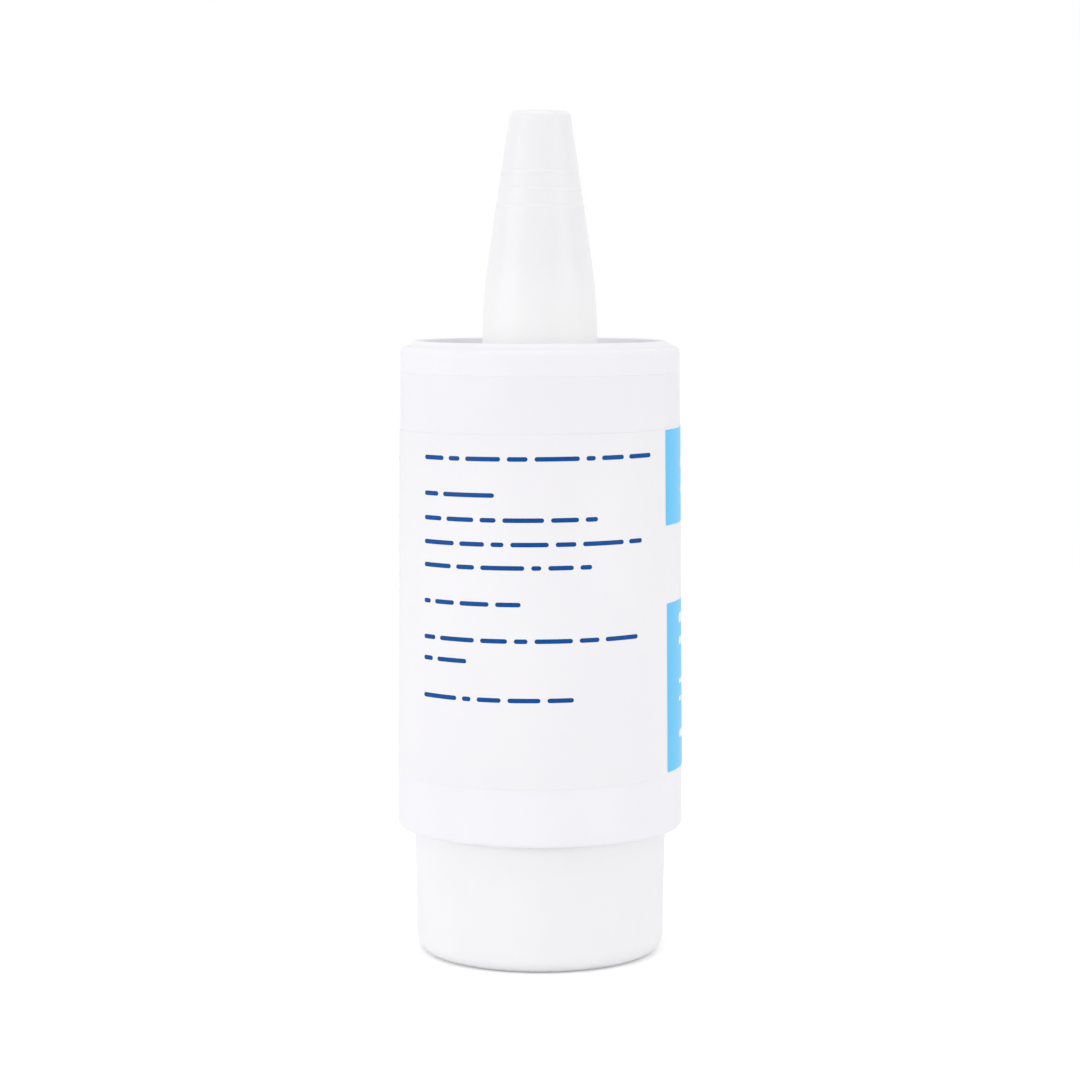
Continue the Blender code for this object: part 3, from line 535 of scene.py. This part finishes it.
# Painted light: the colour turns whiter towards the foot, standing in for light from the nozzle and
# lifting the rim's shade; the same mask dulls the rubbed gloss.
foot_painted_light_and_rub = remap(tree, height_on(tree), HUG_BEGINS, CAP_FOOT)
foot_painted_light_colour = blend_colours(tree, foot_painted_light_and_rub, skin["Colour"], FOOT_PAINTED_LIGHT_TONE)
worn = blend_colours(tree, edges["Wear"], foot_painted_light_colour, (0.97, 0.97, 0.98))
duller = remap(tree, foot_painted_light_and_rub, 0.0, 1.0, skin["Roughness"], FOOT_ROUGHNESS)
connect(tree, sockets, worn, duller, bump(tree, skin["Height"], 0.5, 0.003 * MM))
print("material:", cap_natural.name)

# %% [markdown]
# ## Film for the bag
# The drops sit in a thin bag that folds up as it empties. Its film is clearer than the container
# and full of small creases. Cells of a Voronoi texture, bent by a noise, look like crumpled film:
# their borders are the creases.

# %% Crinkled bag film
crease_group, given, result = new_group(
    "film_creases",
    [("Crease Scale", NUMBER, 350.0), ("Crumple", NUMBER, 0.005)],
    [("Height", NUMBER), ("Creases", NUMBER)])
position = place(crease_group)
wobble = add_node(crease_group, "ShaderNodeTexNoise", {"Scale": 260.0, "Detail": 3.0})
crease_group.links.new(position, wobble.inputs["Vector"])
shifted = add_node(crease_group, "ShaderNodeVectorMath", operation="MULTIPLY_ADD")
crease_group.links.new(wobble.outputs["Color"], shifted.inputs[0])
crease_group.links.new(given["Crumple"], shifted.inputs[1])
crease_group.links.new(position, shifted.inputs[2])
cells = add_node(crease_group, "ShaderNodeTexVoronoi", feature="DISTANCE_TO_EDGE")
crease_group.links.new(shifted.outputs["Vector"], cells.inputs["Vector"])
crease_group.links.new(given["Crease Scale"], cells.inputs["Scale"])
crease_group.links.new(remap(crease_group, cells.outputs["Distance"], 0.0, 0.35), result["Height"])
crease_group.links.new(remap(crease_group, cells.outputs["Distance"], 0.08, 0.0), result["Creases"])

bag_film, tree, sockets = new_material("bag_film", 0.5)
sockets["Transmission Weight"].default_value = 0.35
creased = use_group(tree, crease_group, {"Crease Scale": 420.0})
film = blend_colours(tree, creased["Creases"], (0.82, 0.85, 0.85), (0.86, 0.89, 0.89))
sheen = remap(tree, creased["Height"], 0.0, 1.0, 0.42, 0.28)
connect(tree, sockets, film, sheen, bump(tree, creased["Height"], 0.7, 0.05 * MM))
print("material:", bag_film.name)

# %% [markdown]
# ## Metals
# The springs are drawn wire and the valve ball is a ground bearing ball. Drawing leaves long fine
# lines along the wire, which a squeezed noise imitates, and the ball is nearly clean. Both are
# fully metallic, so their colour is their reflection.

# %% Drawn wire and ground ball
draw_group, given, result = new_group(
    "drawn_lines",
    [("Tone", COLOUR, (0.6, 0.6, 0.6, 1.0)), ("Line Tone", COLOUR, (0.5, 0.5, 0.5, 1.0)),
     ("Line Scale", NUMBER, 6000.0)],
    [("Colour", COLOUR), ("Lines", NUMBER)])
drawn = noise(draw_group, place(draw_group, (0.15, 0.15, 1.0)), given["Line Scale"], 3.0, 0.7)
lines = remap(draw_group, drawn, 0.35, 0.65)
lined = blend_colours(draw_group, lines, given["Tone"], given["Line Tone"])
draw_group.links.new(lined, result["Colour"])
draw_group.links.new(lines, result["Lines"])


def metal(name, tone, line_tone, roughness, relief):
    """A bright metal with drawing or grinding lines."""
    material, tree, sockets = new_material(name, 0.5)
    sockets["Metallic"].default_value = 1.0
    drawn = use_group(tree, draw_group, {"Tone": tone, "Line Tone": line_tone})
    connect(tree, sockets, drawn["Colour"], remap(tree, drawn["Lines"], 0.0, 1.0, *roughness),
            bump(tree, drawn["Lines"], 0.5, relief))
    return material


spring_steel = metal("spring_steel", (0.62, 0.63, 0.65), (0.50, 0.51, 0.53), (0.28, 0.36),
                     0.004 * MM)
silver_plate = metal("silver_plate", (0.88, 0.87, 0.85), (0.78, 0.77, 0.75), (0.14, 0.26),
                     0.002 * MM)
ball_steel = metal("ball_steel", (0.72, 0.73, 0.75), (0.69, 0.70, 0.72), (0.08, 0.12),
                   0.0005 * MM)
print("metals:", [m.name for m in (spring_steel, silver_plate, ball_steel)])

# %% [markdown]
# ## The five outer pieces
# From the table up: the base cup with its rounded foot, the sleeve, the collar with its raised
# rim, the nozzle and the cap. They carry the silhouette, so they get the most sides. At 192 sides
# the error of the outline is two thousandths of a millimetre. The solids keep a fifth of a
# millimetre between the collar and the sleeve. The real collar is pressed home and leaves a
# hairline, so its lower edge is brought down to the sleeve.

# %% Outer pieces
OUTER_SIDES = 192
THIN_FILLET = 0.05 * MM
HAIRLINE, LEFT_OPEN = 0.004 * MM, 0.3 * MM
RIB_LOW, RIB_HIGH, RIB_INSIDE = 84.0 * MM, 89.5 * MM, 3.9 * MM
CROWN_SHARE = 0.5
FLANK = 0.08 * MM
sleeve_high = max(point.y for point in sleeve_outline)


def press_home(outline):
    """Bring the collar's lower edge down to a hairline above the sleeve."""
    for point in outline:
        if 0 < point.y - sleeve_high < LEFT_OPEN:
            point.y = sleeve_high + HAIRLINE


def melt_ribs(outline):
    """Give each grip rib of the cap a lower crown and wider flanks."""
    side = [p for p in outline if RIB_LOW < p.y < RIB_HIGH and p.x > RIB_INSIDE]
    side.sort(key=lambda p: p.y)
    slope = (side[-1].x - side[0].x) / (side[-1].y - side[0].y)
    ribs = zip(side[0::4], side[1::4], side[2::4], side[3::4])
    for low_foot, low_crown, high_crown, high_foot in ribs:
        for crown in (low_crown, high_crown):
            base = low_foot.x + slope * (crown.y - low_foot.y)
            crown.x = base + (crown.x - base) * CROWN_SHARE
        for foot, away in ((low_foot, -FLANK), (high_foot, FLANK)):
            foot.x += slope * away
            foot.y += away


turned_piece("base_cup_shell", "base_cup", "bottle", base_white, "base_white", OUTER_SIDES)
turned_piece("sleeve_shell", "outer_sleeve", "pump_head", sleeve_white, "sleeve_white",
             OUTER_SIDES, THIN_FILLET, seam=sleeve_high)
turned_piece("collar_ring", "shoulder_collar", "pump_head", collar_white, "sleeve_white",
             OUTER_SIDES, THIN_FILLET, press_home, seam=sleeve_high)
turned_piece("nozzle_cone", "dropper_nozzle", "pump_head", nozzle_white, "nozzle_white",
             OUTER_SIDES)
turned_piece("cap_shell", "protective_cap", "cap", cap_natural, "cap_natural", OUTER_SIDES,
             reshape=melt_ribs)

# %% [markdown]
# ## The pieces inside
# The pump and the container are out of sight until the bottle is opened or the cap is pulled.
# They are made the same way with fewer sides, because they are smaller.

# %% Pump and container
INNER_SIDES, SMALL_SIDES = 128, 64
SMALL_FILLET = 0.06 * MM
for name, node, material, slot in (
        ("container_body", "container", natural_pe, "natural_pe"),
        ("gasket_ring", "neck_gasket", seal_rubber, "seal_rubber"),
        ("closure_cap", "closure_ring", base_white, "base_white"),
        ("cylinder_body", "pump_cylinder", natural_pe, "natural_pe")):
    turned_piece(name, node, "bottle", material, slot, INNER_SIDES)
for name, node, body, material, slot in (
        ("guide_bush", "stem_guide", "bottle", nozzle_white, "nozzle_white"),
        ("ball_stop_bush", "ball_stop", "bottle", natural_pe, "natural_pe"),
        ("tube_body", "valve_tube", "pump_head", nozzle_white, "nozzle_white"),
        ("stem_body", "piston_stem", "pump_head", nozzle_white, "nozzle_white"),
        ("seal_lips", "piston_seal", "pump_head", seal_rubber, "seal_rubber"),
        ("outlet_needle", "outlet_pin", "outlet_valve", nozzle_white, "nozzle_white")):
    turned_piece(name, node, body, material, slot, SMALL_SIDES, SMALL_FILLET)
ball_piece = turned_piece("valve_ball", "inlet_ball", "inlet_valve", ball_steel, "ball_steel",
                          SMALL_SIDES)
low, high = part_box("inlet_ball")
centre, ball_radius = (low + high) / 2, (high.z - low.z) / 2
for vertex in ball_piece.data.vertices:
    offset = vertex.co - centre
    vertex.co = centre + offset.normalized() * ball_radius
print("ball diameter in mm:", round(2 * ball_radius / MM, 2))

# %% [markdown]
# ## The folded bag
# A full bag still has upright folds where its film was slack against the container. They are
# made by moving both faces of the film inwards together, most at half height and not at all at
# the floor and the neck, so that the film keeps its thickness and stays clear of the container.

# %% Inner bag
BAG_FOLDS, FOLD_DEPTH, FOLD_ROWS = 9, 0.7 * MM, 24
FOLD_SWAY, FOLD_TWIST = 1.4, 2.0
WIDE, WALL = 0.9, 0.8
bag_piece = turned_piece("drop_bag", "inner_bag", "bottle", bag_film, "bag_film", INNER_SIDES)
bag_outline, _ = read_outline("inner_bag")
widest = max(point.x for point in bag_outline)
body_heights = [point.y for point in bag_outline if point.x > WIDE * widest]
fold_low, fold_high = min(body_heights), max(body_heights)
loops = [fold_low + (fold_high - fold_low) * row / FOLD_ROWS for row in range(1, FOLD_ROWS)]
points = soften(bag_outline, False)
filled = []
for here, after in zip(points, points[1:] + points[-1:]):
    filled.append(here)
    between = [z for z in loops if min(here.y, after.y) < z < max(here.y, after.y)]
    if min(here.x, after.x) > WALL * widest:
        for z in sorted(between, reverse=here.y > after.y):
            share = (z - here.y) / (after.y - here.y)
            filled.append(here.lerp(after, share))
old_mesh = bag_piece.data
spare = turn_mesh("drop_bag_form", filled, False, INNER_SIDES)
bag_piece.data = spare.data
bag_piece.data.materials.append(bag_film)
bpy.data.objects.remove(spare)
bpy.data.meshes.remove(old_mesh)
for vertex in bag_piece.data.vertices:
    radius = math.hypot(vertex.co.x, vertex.co.y)
    rise = (vertex.co.z - fold_low) / (fold_high - fold_low)
    if radius < WALL * widest or not 0 < rise < 1:
        continue
    angle = math.atan2(vertex.co.y, vertex.co.x)
    sway = FOLD_SWAY * math.sin(3 * angle)
    wave = 0.5 - 0.5 * math.cos(BAG_FOLDS * angle + sway + FOLD_TWIST * rise)
    inwards = FOLD_DEPTH * math.sin(math.pi * rise) * wave ** 2
    vertex.co.x *= 1 - inwards / radius
    vertex.co.y *= 1 - inwards / radius
print("folds in the bag:", BAG_FOLDS, "faces:", len(bag_piece.data.polygons))

# %% [markdown]
# ## Springs
# A spring is one wire on a helix, with its end turns wound closer so that it stands flat. A curve
# with a round bevel is the natural tool, and it is turned into a mesh here. A spring has to
# shorten when the pump is pushed.

# %% Coil springs
COIL_STEPS = 40
COIL_END_GAP = 0.45 * MM


def spring(name, node, turns, wire, body, material, slot):
    """A round wire spring that fills the box of its node."""
    low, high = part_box(node)
    coil_radius = high.x - wire / 2
    foot, head = low.z + wire / 2, high.z - wire / 2
    end_rise = wire + COIL_END_GAP
    working_rise = (head - foot - 2 * end_rise) / (turns - 2)
    curve = bpy.data.curves.new(name, "CURVE")
    curve.dimensions = "3D"
    curve.bevel_depth = wire / 2
    curve.bevel_resolution = 4
    curve.use_fill_caps = True
    line = curve.splines.new("POLY")
    line.points.add(turns * COIL_STEPS)
    for step, point in enumerate(line.points):
        turn = step / COIL_STEPS
        height = foot + end_rise * min(turn, 1)
        height += working_rise * min(max(turn - 1, 0), turns - 2)
        height += end_rise * max(turn - (turns - 1), 0)
        angle = 2 * math.pi * turn
        point.co = (coil_radius * math.cos(angle), coil_radius * math.sin(angle), height, 1.0)
    wound = link_object(name + "_curve", curve)
    bpy.context.view_layer.update()
    seen = wound.evaluated_get(bpy.context.evaluated_depsgraph_get())
    mesh = bpy.data.meshes.new_from_object(seen)
    bpy.data.objects.remove(wound)
    mesh.name = name
    mesh.shade_smooth()
    obj = finish_piece(link_object(name, mesh), body, material, slot, node)
    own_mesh(obj)
    print(name, "free length in mm:", round((high.z - low.z) / MM, 2))


spring("return_coil", "return_spring", turns=7, wire=0.8 * MM, body="bottle",
       material=spring_steel, slot="spring_steel")
spring("outlet_coil", "outlet_spring", turns=8, wire=0.25 * MM, body="pump_head",
       material=silver_plate, slot="silver_plate")

# %% [markdown]
# ## The wrap label
# The label is a thin film, stuck round the sleeve a little askew: its right side sits higher than
# its left. Its ends leave a narrow gap at the back. It could be painted on in the shader, but a
# real film has an edge that catches the light, so it is a thin shell that follows the sleeve's
# slight taper. Lengths on the label are measured along its arc from the middle of the front.

# %% Label film
ON_SIDE = 0.97
sleeve_widest = max(point.x for point in sleeve_outline)
side_points = [point for point in sleeve_outline if point.x > ON_SIDE * sleeve_widest]
side_points.sort(key=lambda point: point.y)
sleeve_foot, sleeve_top = side_points[-2:]
LABEL_SKEW = math.tan(math.radians(0.5))
LABEL_MIDDLE, LABEL_HEIGHT = 40.5 * MM, 38.8 * MM
LABEL_LIFT = 0.01 * MM
LABEL_FILM, FILM_EDGE = 0.05 * MM, 0.015 * MM
LABEL_COLUMNS = 288
SEAM_GAP = 1.2 * MM


def sleeve_radius(height):
    """Outer radius of the sleeve at a height."""
    share = (height - sleeve_foot.y) / (sleeve_top.y - sleeve_foot.y)
    return sleeve_foot.x + share * (sleeve_top.x - sleeve_foot.x)


label_radius = sleeve_radius(LABEL_MIDDLE)


def on_label(arc, height, lift):
    """A point on the wrapped label, from its flat place and how far it stands off the sleeve."""
    angle = arc / label_radius - math.pi / 2
    z = height + arc * LABEL_SKEW
    radius = sleeve_radius(z) + lift
    return radius * math.cos(angle), radius * math.sin(angle), z


half_wrap = math.pi * label_radius - SEAM_GAP / 2
top, foot = LABEL_MIDDLE + LABEL_HEIGHT / 2, LABEL_MIDDLE - LABEL_HEIGHT / 2
outside = LABEL_LIFT + LABEL_FILM
section = [(foot, LABEL_LIFT), (foot, outside - FILM_EDGE), (foot + 2 * FILM_EDGE, outside),
           (top - 2 * FILM_EDGE, outside), (top, outside - FILM_EDGE), (top, LABEL_LIFT)]
vertices, faces = [], []
for column in range(LABEL_COLUMNS + 1):
    arc = -half_wrap + 2 * half_wrap * column / LABEL_COLUMNS
    vertices += [on_label(arc, height, lift) for height, lift in section]
count = len(section)
for column in range(LABEL_COLUMNS):
    for i in range(count):
        a, b = column * count + i, column * count + (i + 1) % count
        faces.append((b, a, a + count, b + count))
faces.append(tuple(range(count)))
faces.append(tuple(reversed(range(LABEL_COLUMNS * count, (LABEL_COLUMNS + 1) * count))))
label_piece = mesh_object("label_film_wrap", vertices, faces)
label_piece.data.set_sharp_from_angle(angle=math.radians(30))
print("label height and wrap in mm:", round(LABEL_HEIGHT / MM, 1), round(2 * half_wrap / MM, 1))

# %% [markdown]
# ## Label film and inks
# The film is about as matt as the sleeve and a touch warmer. Under raking light it shows the
# faint ripple of a film that was rolled on. The inks lie on top: a sky blue for the panels, a
# deep blue for the lines and a white for the marks on the panels. Screened ink is never perfectly
# even, so a fine noise thins it in spots.

# %% Label materials
# Painted light: the label's colour is lighter towards its foot.
label_film = plastic("label_film", (0.852, 0.844, 0.858), (0.844, 0.836, 0.852), (0.40, 0.46),
                     grain_scale=2500.0, relief=0.002 * MM, wear=0.0, marks=0.4, specular=0.3,
                     painted_light_span=(24.0 * MM, 56.0 * MM, 1.022, 0.986))
finish_piece(label_piece, "pump_head", label_film, "label_film", "wrap_label")

ink_group, given, result = new_group(
    "printed_ink",
    [("Ink", COLOUR, (0.1, 0.1, 0.5, 1.0)), ("Thin Ink", COLOUR, (0.2, 0.2, 0.6, 1.0)),
     ("Speckle Scale", NUMBER, 2500.0)],
    [("Colour", COLOUR), ("Coverage", NUMBER)])
spots = noise(ink_group, place(ink_group), given["Speckle Scale"], 3.0, 0.7)
speckle = remap(ink_group, spots, 0.35, 0.70)
spotted = blend_colours(ink_group, speckle, given["Ink"], given["Thin Ink"])
ink_group.links.new(spotted, result["Colour"])
ink_group.links.new(speckle, result["Coverage"])


def ink(name, tone, thin_tone, specular=0.5):
    """A screen printed ink."""
    material, tree, sockets = new_material(name, specular)
    printed = use_group(tree, ink_group, {"Ink": tone, "Thin Ink": thin_tone})
    sheen = remap(tree, printed["Coverage"], 0.0, 1.0, 0.30, 0.40)
    connect(tree, sockets, printed["Colour"], sheen,
            bump(tree, printed["Coverage"], 0.4, 0.002 * MM))
    return material


sky_ink = ink("sky_ink", (0.065, 0.515, 0.885), (0.095, 0.560, 0.905))
deep_ink = ink("deep_ink", (0.001, 0.062, 0.265), (0.004, 0.080, 0.300), specular=0.12)
white_ink = ink("white_ink", (0.86, 0.86, 0.88), (0.82, 0.84, 0.88))
print("inks:", [m.name for m in (sky_ink, deep_ink, white_ink)])

# %% [markdown]
# ## Printing on the label
# Each print is a set of flat shapes with rounded ends, bent round the bottle. A shape is cut
# into narrow columns, so that it follows the curve of the film and never sinks into it. A round
# end closes in a single point, because two points in one place would leave an empty face.

# %% Print a set of bars
COLUMN_STEP = 0.5 * MM
ROUND_OFF = 0.01
TURN_ANGLES = [math.radians(degrees) for degrees in (90, 60, 30)]


def print_bars(name, bars, lift, material):
    """Rounded bars wrapped on the label. Each is (start, end, low, high, corner) in metres."""
    vertices, faces = [], []
    for start, end, low, high, corner in bars:
        corner = min(corner, (high - low) / 2, (end - start) / 2)
        straight = end - start - 2 * corner
        middle = max(0, math.ceil(straight / COLUMN_STEP - ROUND_OFF))
        turn = []
        for angle in TURN_ANGLES if corner else ():
            turn.append((start + corner * (1 - math.sin(angle)), corner * (1 - math.cos(angle))))
        steps = max(middle, 1)
        stations = turn + [(start + corner + straight * i / steps, 0.0) for i in range(middle + 1)]
        stations += [(start + end - arc, inset) for arc, inset in reversed(turn)]
        columns = []
        for arc, inset in stations:
            columns.append([len(vertices)])
            vertices.append(on_label(arc, low + inset, lift))
            if high - low - 2 * inset > TOUCHING:
                vertices.append(on_label(arc, high - inset, lift))
            columns[-1].append(len(vertices) - 1)
        for (a, b), (c, d) in zip(columns, columns[1:]):
            faces.append(tuple(dict.fromkeys((a, c, d, b))))
    finish_piece(mesh_object(name, vertices, faces), "pump_head", material, "label_film")


# %% [markdown]
# ## Sky blue panels
# Two panels fill the part of the label round to the right, with a white band between them. From
# the front only a narrow strip of them shows.

# %% Panels
INK_FILM = 0.008 * MM
INK_LIFT = LABEL_LIFT + LABEL_FILM + INK_FILM
PANEL_END, PANEL_CORNER = 48.6 * MM, 0.15 * MM
panels = [
    (17.0 * MM, PANEL_END, 49.2 * MM, top - 0.05 * MM, PANEL_CORNER),
    (17.2 * MM, PANEL_END, 21.43 * MM, 40.48 * MM, PANEL_CORNER),
]
print_bars("label_panels", panels, INK_LIFT, sky_ink)
print("panels:", len(panels))

# %% [markdown]
# ## Lines of print
# The front carries small print in short paragraphs. Readable words would be somebody's text, so
# plain bars of word length stand for them, in the same rows. Their pattern comes from a short
# list of lengths that is used over and over, which gives the same result on every run.

# %% Rows of bars
WORDS = [3.1, 1.5, 4.2, 2.3, 5.0, 1.1, 2.8, 3.6, 1.9, 4.6]
WORD_SPACE = 0.75 * MM
SHORT_WORD, SMALL_SPACE = 1.6, 0.6
BAR_HEIGHT = 0.50 * MM
LEFT_MARGIN = -14.7 * MM


def row_of_words(start, end, middle, first_word, bar_height=BAR_HEIGHT):
    """Bars of word length that fill one row from start to end."""
    bars, arc, word = [], start, first_word
    shortest, space = SHORT_WORD * bar_height, max(WORD_SPACE, SMALL_SPACE * bar_height)
    while arc < end - shortest:
        stop = arc + max(WORDS[word % len(WORDS)] * MM, shortest)
        if stop > end - 2 * shortest:
            stop = end
        half = bar_height / 2
        bars.append((arc, stop, middle - half, middle + half, half))
        arc, word = stop + space, word + 1
    return bars


ROWS = [(57.28, 13.9), (53.33, -5.1), (50.63, 6.5), (47.98, 12.4), (45.43, 5.8), (41.43, -2.1),
        (37.43, 11.7), (35.08, -8.4), (30.93, 3.7)]
text_bars = []
for number, (height, end) in enumerate(ROWS):
    text_bars += row_of_words(LEFT_MARGIN, end * MM, height * MM, number * 3)
print_bars("label_rows", text_bars, INK_LIFT, deep_ink)
print("rows:", len(ROWS), "bars:", len(text_bars))

# %% [markdown]
# ## Marks on the panels and the back
# White bars sit on the panels, and the back of the label has a block of small rows and an empty
# frame for a stamped date. All of it is plain shapes.

# %% White marks and the back block
WHITE_ROWS = [
    (38.4, 21.2, 45.5, 3, 1.2), (35.8, 21.2, 39.0, 0, 0.9), (31.2, 21.2, 34.5, 3, 0.55),
    (29.2, 21.2, 42.0, 1, 0.55), (25.2, 21.2, 31.0, 4, 0.9),
    (55.9, 22.6, 41.0, 0, 1.4), (52.9, 22.6, 36.0, 2, 0.9),
]
white_bars = []
for height, start, end, first_word, thick in WHITE_ROWS:
    white_bars += row_of_words(start * MM, end * MM, height * MM, first_word, thick * MM)
print_bars("label_white_marks", white_bars, INK_LIFT + INK_FILM, white_ink)

BACK_MARGIN = -46.5 * MM
back_bars = []
for number, height in enumerate((56.6, 54.4, 52.2, 50.0, 47.8, 45.6, 43.4)):
    row_end = (-24.0 - 2.2 * (number % 3)) * MM
    back_bars += row_of_words(BACK_MARGIN, row_end, height * MM, number * 2 + 1, 0.42 * MM)
frame_left, frame_right = BACK_MARGIN, -27.0 * MM
frame_low, frame_high, rule = 25.0 * MM, 36.0 * MM, 0.25 * MM
back_bars += [
    (frame_left, frame_right, frame_low, frame_low + rule, 0.0),
    (frame_left, frame_right, frame_high - rule, frame_high, 0.0),
    (frame_left, frame_left + rule, frame_low + rule, frame_high - rule, 0.0),
    (frame_right - rule, frame_right, frame_low + rule, frame_high - rule, 0.0),
]
print_bars("label_back_block", back_bars, INK_LIFT, deep_ink)
print("white marks:", len(white_bars), "back bars:", len(back_bars))

# %% [markdown]
# ## White room
# The bottle stands in a white room, which is only the world. A bright world would wash the bottle
# out, so it lights the scene at a modest level, and shows white where the camera, a reflection or
# a clear film sees it. The Light Path node tells these rays from the light on a surface.

# %% World
def seen_by(tree, *rays):
    """1 for rays of the named kinds, 0 for all others, such as the light that falls on surfaces."""
    path = add_node(tree, "ShaderNodeLightPath")
    seen = path.outputs[rays[0]]
    for ray in rays[1:]:
        seen = maths(tree, "ADD", seen, path.outputs[ray], clamp=True)
    return seen


AMBIENT = 0.772
LIGHT_TINT = (0.992, 0.988, 1.0)
WHITE = (1.0, 1.0, 1.0, 1.0)
world = bpy.data.worlds.new("white_room")
bpy.context.scene.world = world
world.use_nodes = True
tree = world.node_tree
tree.nodes.clear()
modest = {"Color": (*LIGHT_TINT, 1.0), "Strength": AMBIENT}
ambient = add_node(tree, "ShaderNodeBackground", modest)
white = add_node(tree, "ShaderNodeBackground", {"Color": WHITE, "Strength": 1.0})
choose = add_node(tree, "ShaderNodeMixShader")
looked_at = seen_by(tree, "Is Camera Ray", "Is Glossy Ray", "Is Transmission Ray")
tree.links.new(looked_at, choose.inputs["Fac"])
tree.links.new(ambient.outputs[0], choose.inputs[1])
tree.links.new(white.outputs[0], choose.inputs[2])
tree.links.new(choose.outputs[0], add_node(tree, "ShaderNodeOutputWorld").inputs["Surface"])
print("ambient:", AMBIENT)

# %% [markdown]
# ## Floor
# The floor is plain white paint. It is lit like the bottle and keeps its shadow. A little emission
# lifts it to white where the camera looks at it, and less of it in reflections, so that they show
# white and not more. The lamps reach the middle of the floor best, so less lift is needed there,
# and the shadow stays.

# %% Floor
FLOOR_RADIUS = 0.45
FLOOR_LEVEL = -0.01 * MM
MIDDLE_ENDS, RIM_BEGINS = 0.06, 0.20
MIDDLE_LIFT, RIM_LIFT, MIRRORED_LIFT = 0.22, 0.30, 0.12
floor_paint = bpy.data.materials.new("floor_paint")
floor_paint.use_nodes = True
tree = floor_paint.node_tree
tree.nodes.clear()
tooth = noise(tree, place(tree), 900.0, 3.0)
paint = add_node(tree, "ShaderNodeBsdfDiffuse")
painted = blend_colours(tree, tooth, (0.94, 0.94, 0.94), (0.92, 0.92, 0.92))
tree.links.new(painted, paint.inputs["Color"])
lift = add_node(tree, "ShaderNodeEmission", {"Color": WHITE})
away = add_node(tree, "ShaderNodeVectorMath", operation="LENGTH")
tree.links.new(place(tree), away.inputs[0])
needed = remap(tree, away.outputs["Value"], MIDDLE_ENDS, RIM_BEGINS, MIDDLE_LIFT, RIM_LIFT)
direct = maths(tree, "MULTIPLY", seen_by(tree, "Is Camera Ray", "Is Transmission Ray"), needed)
mirrored = maths(tree, "MULTIPLY", seen_by(tree, "Is Glossy Ray"), MIRRORED_LIFT)
tree.links.new(maths(tree, "ADD", direct, mirrored), lift.inputs["Strength"])
together = add_node(tree, "ShaderNodeAddShader")
tree.links.new(paint.outputs[0], together.inputs[0])
tree.links.new(lift.outputs[0], together.inputs[1])
tree.links.new(together.outputs[0], add_node(tree, "ShaderNodeOutputMaterial").inputs["Surface"])

angles = [math.radians(degrees) for degrees in range(0, 360, 3)]
rim = [(FLOOR_RADIUS * math.cos(a), FLOOR_RADIUS * math.sin(a), FLOOR_LEVEL) for a in angles]
floor = mesh_object("floor", rim, [tuple(range(len(rim)))])
floor.data.materials.append(floor_paint)
print("floor radius in m:", FLOOR_RADIUS)

# %% [markdown]
# ## Soft studio light
# A large panel on the left is the key light, a weaker one on the right opens the shadows, and a
# third hangs overhead. Large panels close to a small object give long soft transitions. Each is
# aimed at the middle of the bottle, and their power is set so that white plastic stays just
# below paper white.

# %% Lamps
AIM = Vector((0.0, 0.0, 0.05))


def lamp(name, side, width, power, length=0.22, reach=0.63, height=0.115):
    """A rectangular area lamp, side degrees to the left of the front, that faces the bottle."""
    light = bpy.data.lights.new(name, "AREA")
    light.shape = "RECTANGLE"
    light.size, light.size_y, light.energy = width, length, power
    light.color = LIGHT_TINT
    obj = link_object(name, light)
    angle = math.radians(side)
    obj.location = (-reach * math.sin(angle), -reach * math.cos(angle), height)
    obj.rotation_euler = (AIM - obj.location).to_track_quat("-Z", "Y").to_euler()
    print(name, "power in W:", power)


lamp("key_left", side=63, width=0.57, power=1.02)
lamp("fill_right", side=-57, width=0.40, power=0.70)
lamp("top", side=0, width=0.60, power=1.20, length=0.60, reach=0.10, height=0.75)

# %% [markdown]
# ## Camera
# The portrait is taken from a little above, with a long lens, so the bottle's sides stay almost
# parallel. The place and tilt follow from how the round edges look: their ellipses open slowly
# from the shoulder down to the foot.

# %% Camera
CAMERA_AWAY, CAMERA_HEIGHT = 0.3397, 0.0789
CAMERA_TILT = 5.36
camera_data = bpy.data.cameras.new("portrait")
camera_data.lens = 100.0
camera_data.sensor_width = 36.0
camera_data.clip_start = 0.01
camera = link_object("portrait", camera_data)
camera.location = (0.0, -CAMERA_AWAY, CAMERA_HEIGHT)
camera.rotation_euler = (math.radians(90 - CAMERA_TILT), 0.0, 0.0)
bpy.context.scene.camera = camera
bpy.context.scene.view_settings.view_transform = "Standard"
print("camera tilt in degrees:", CAMERA_TILT)
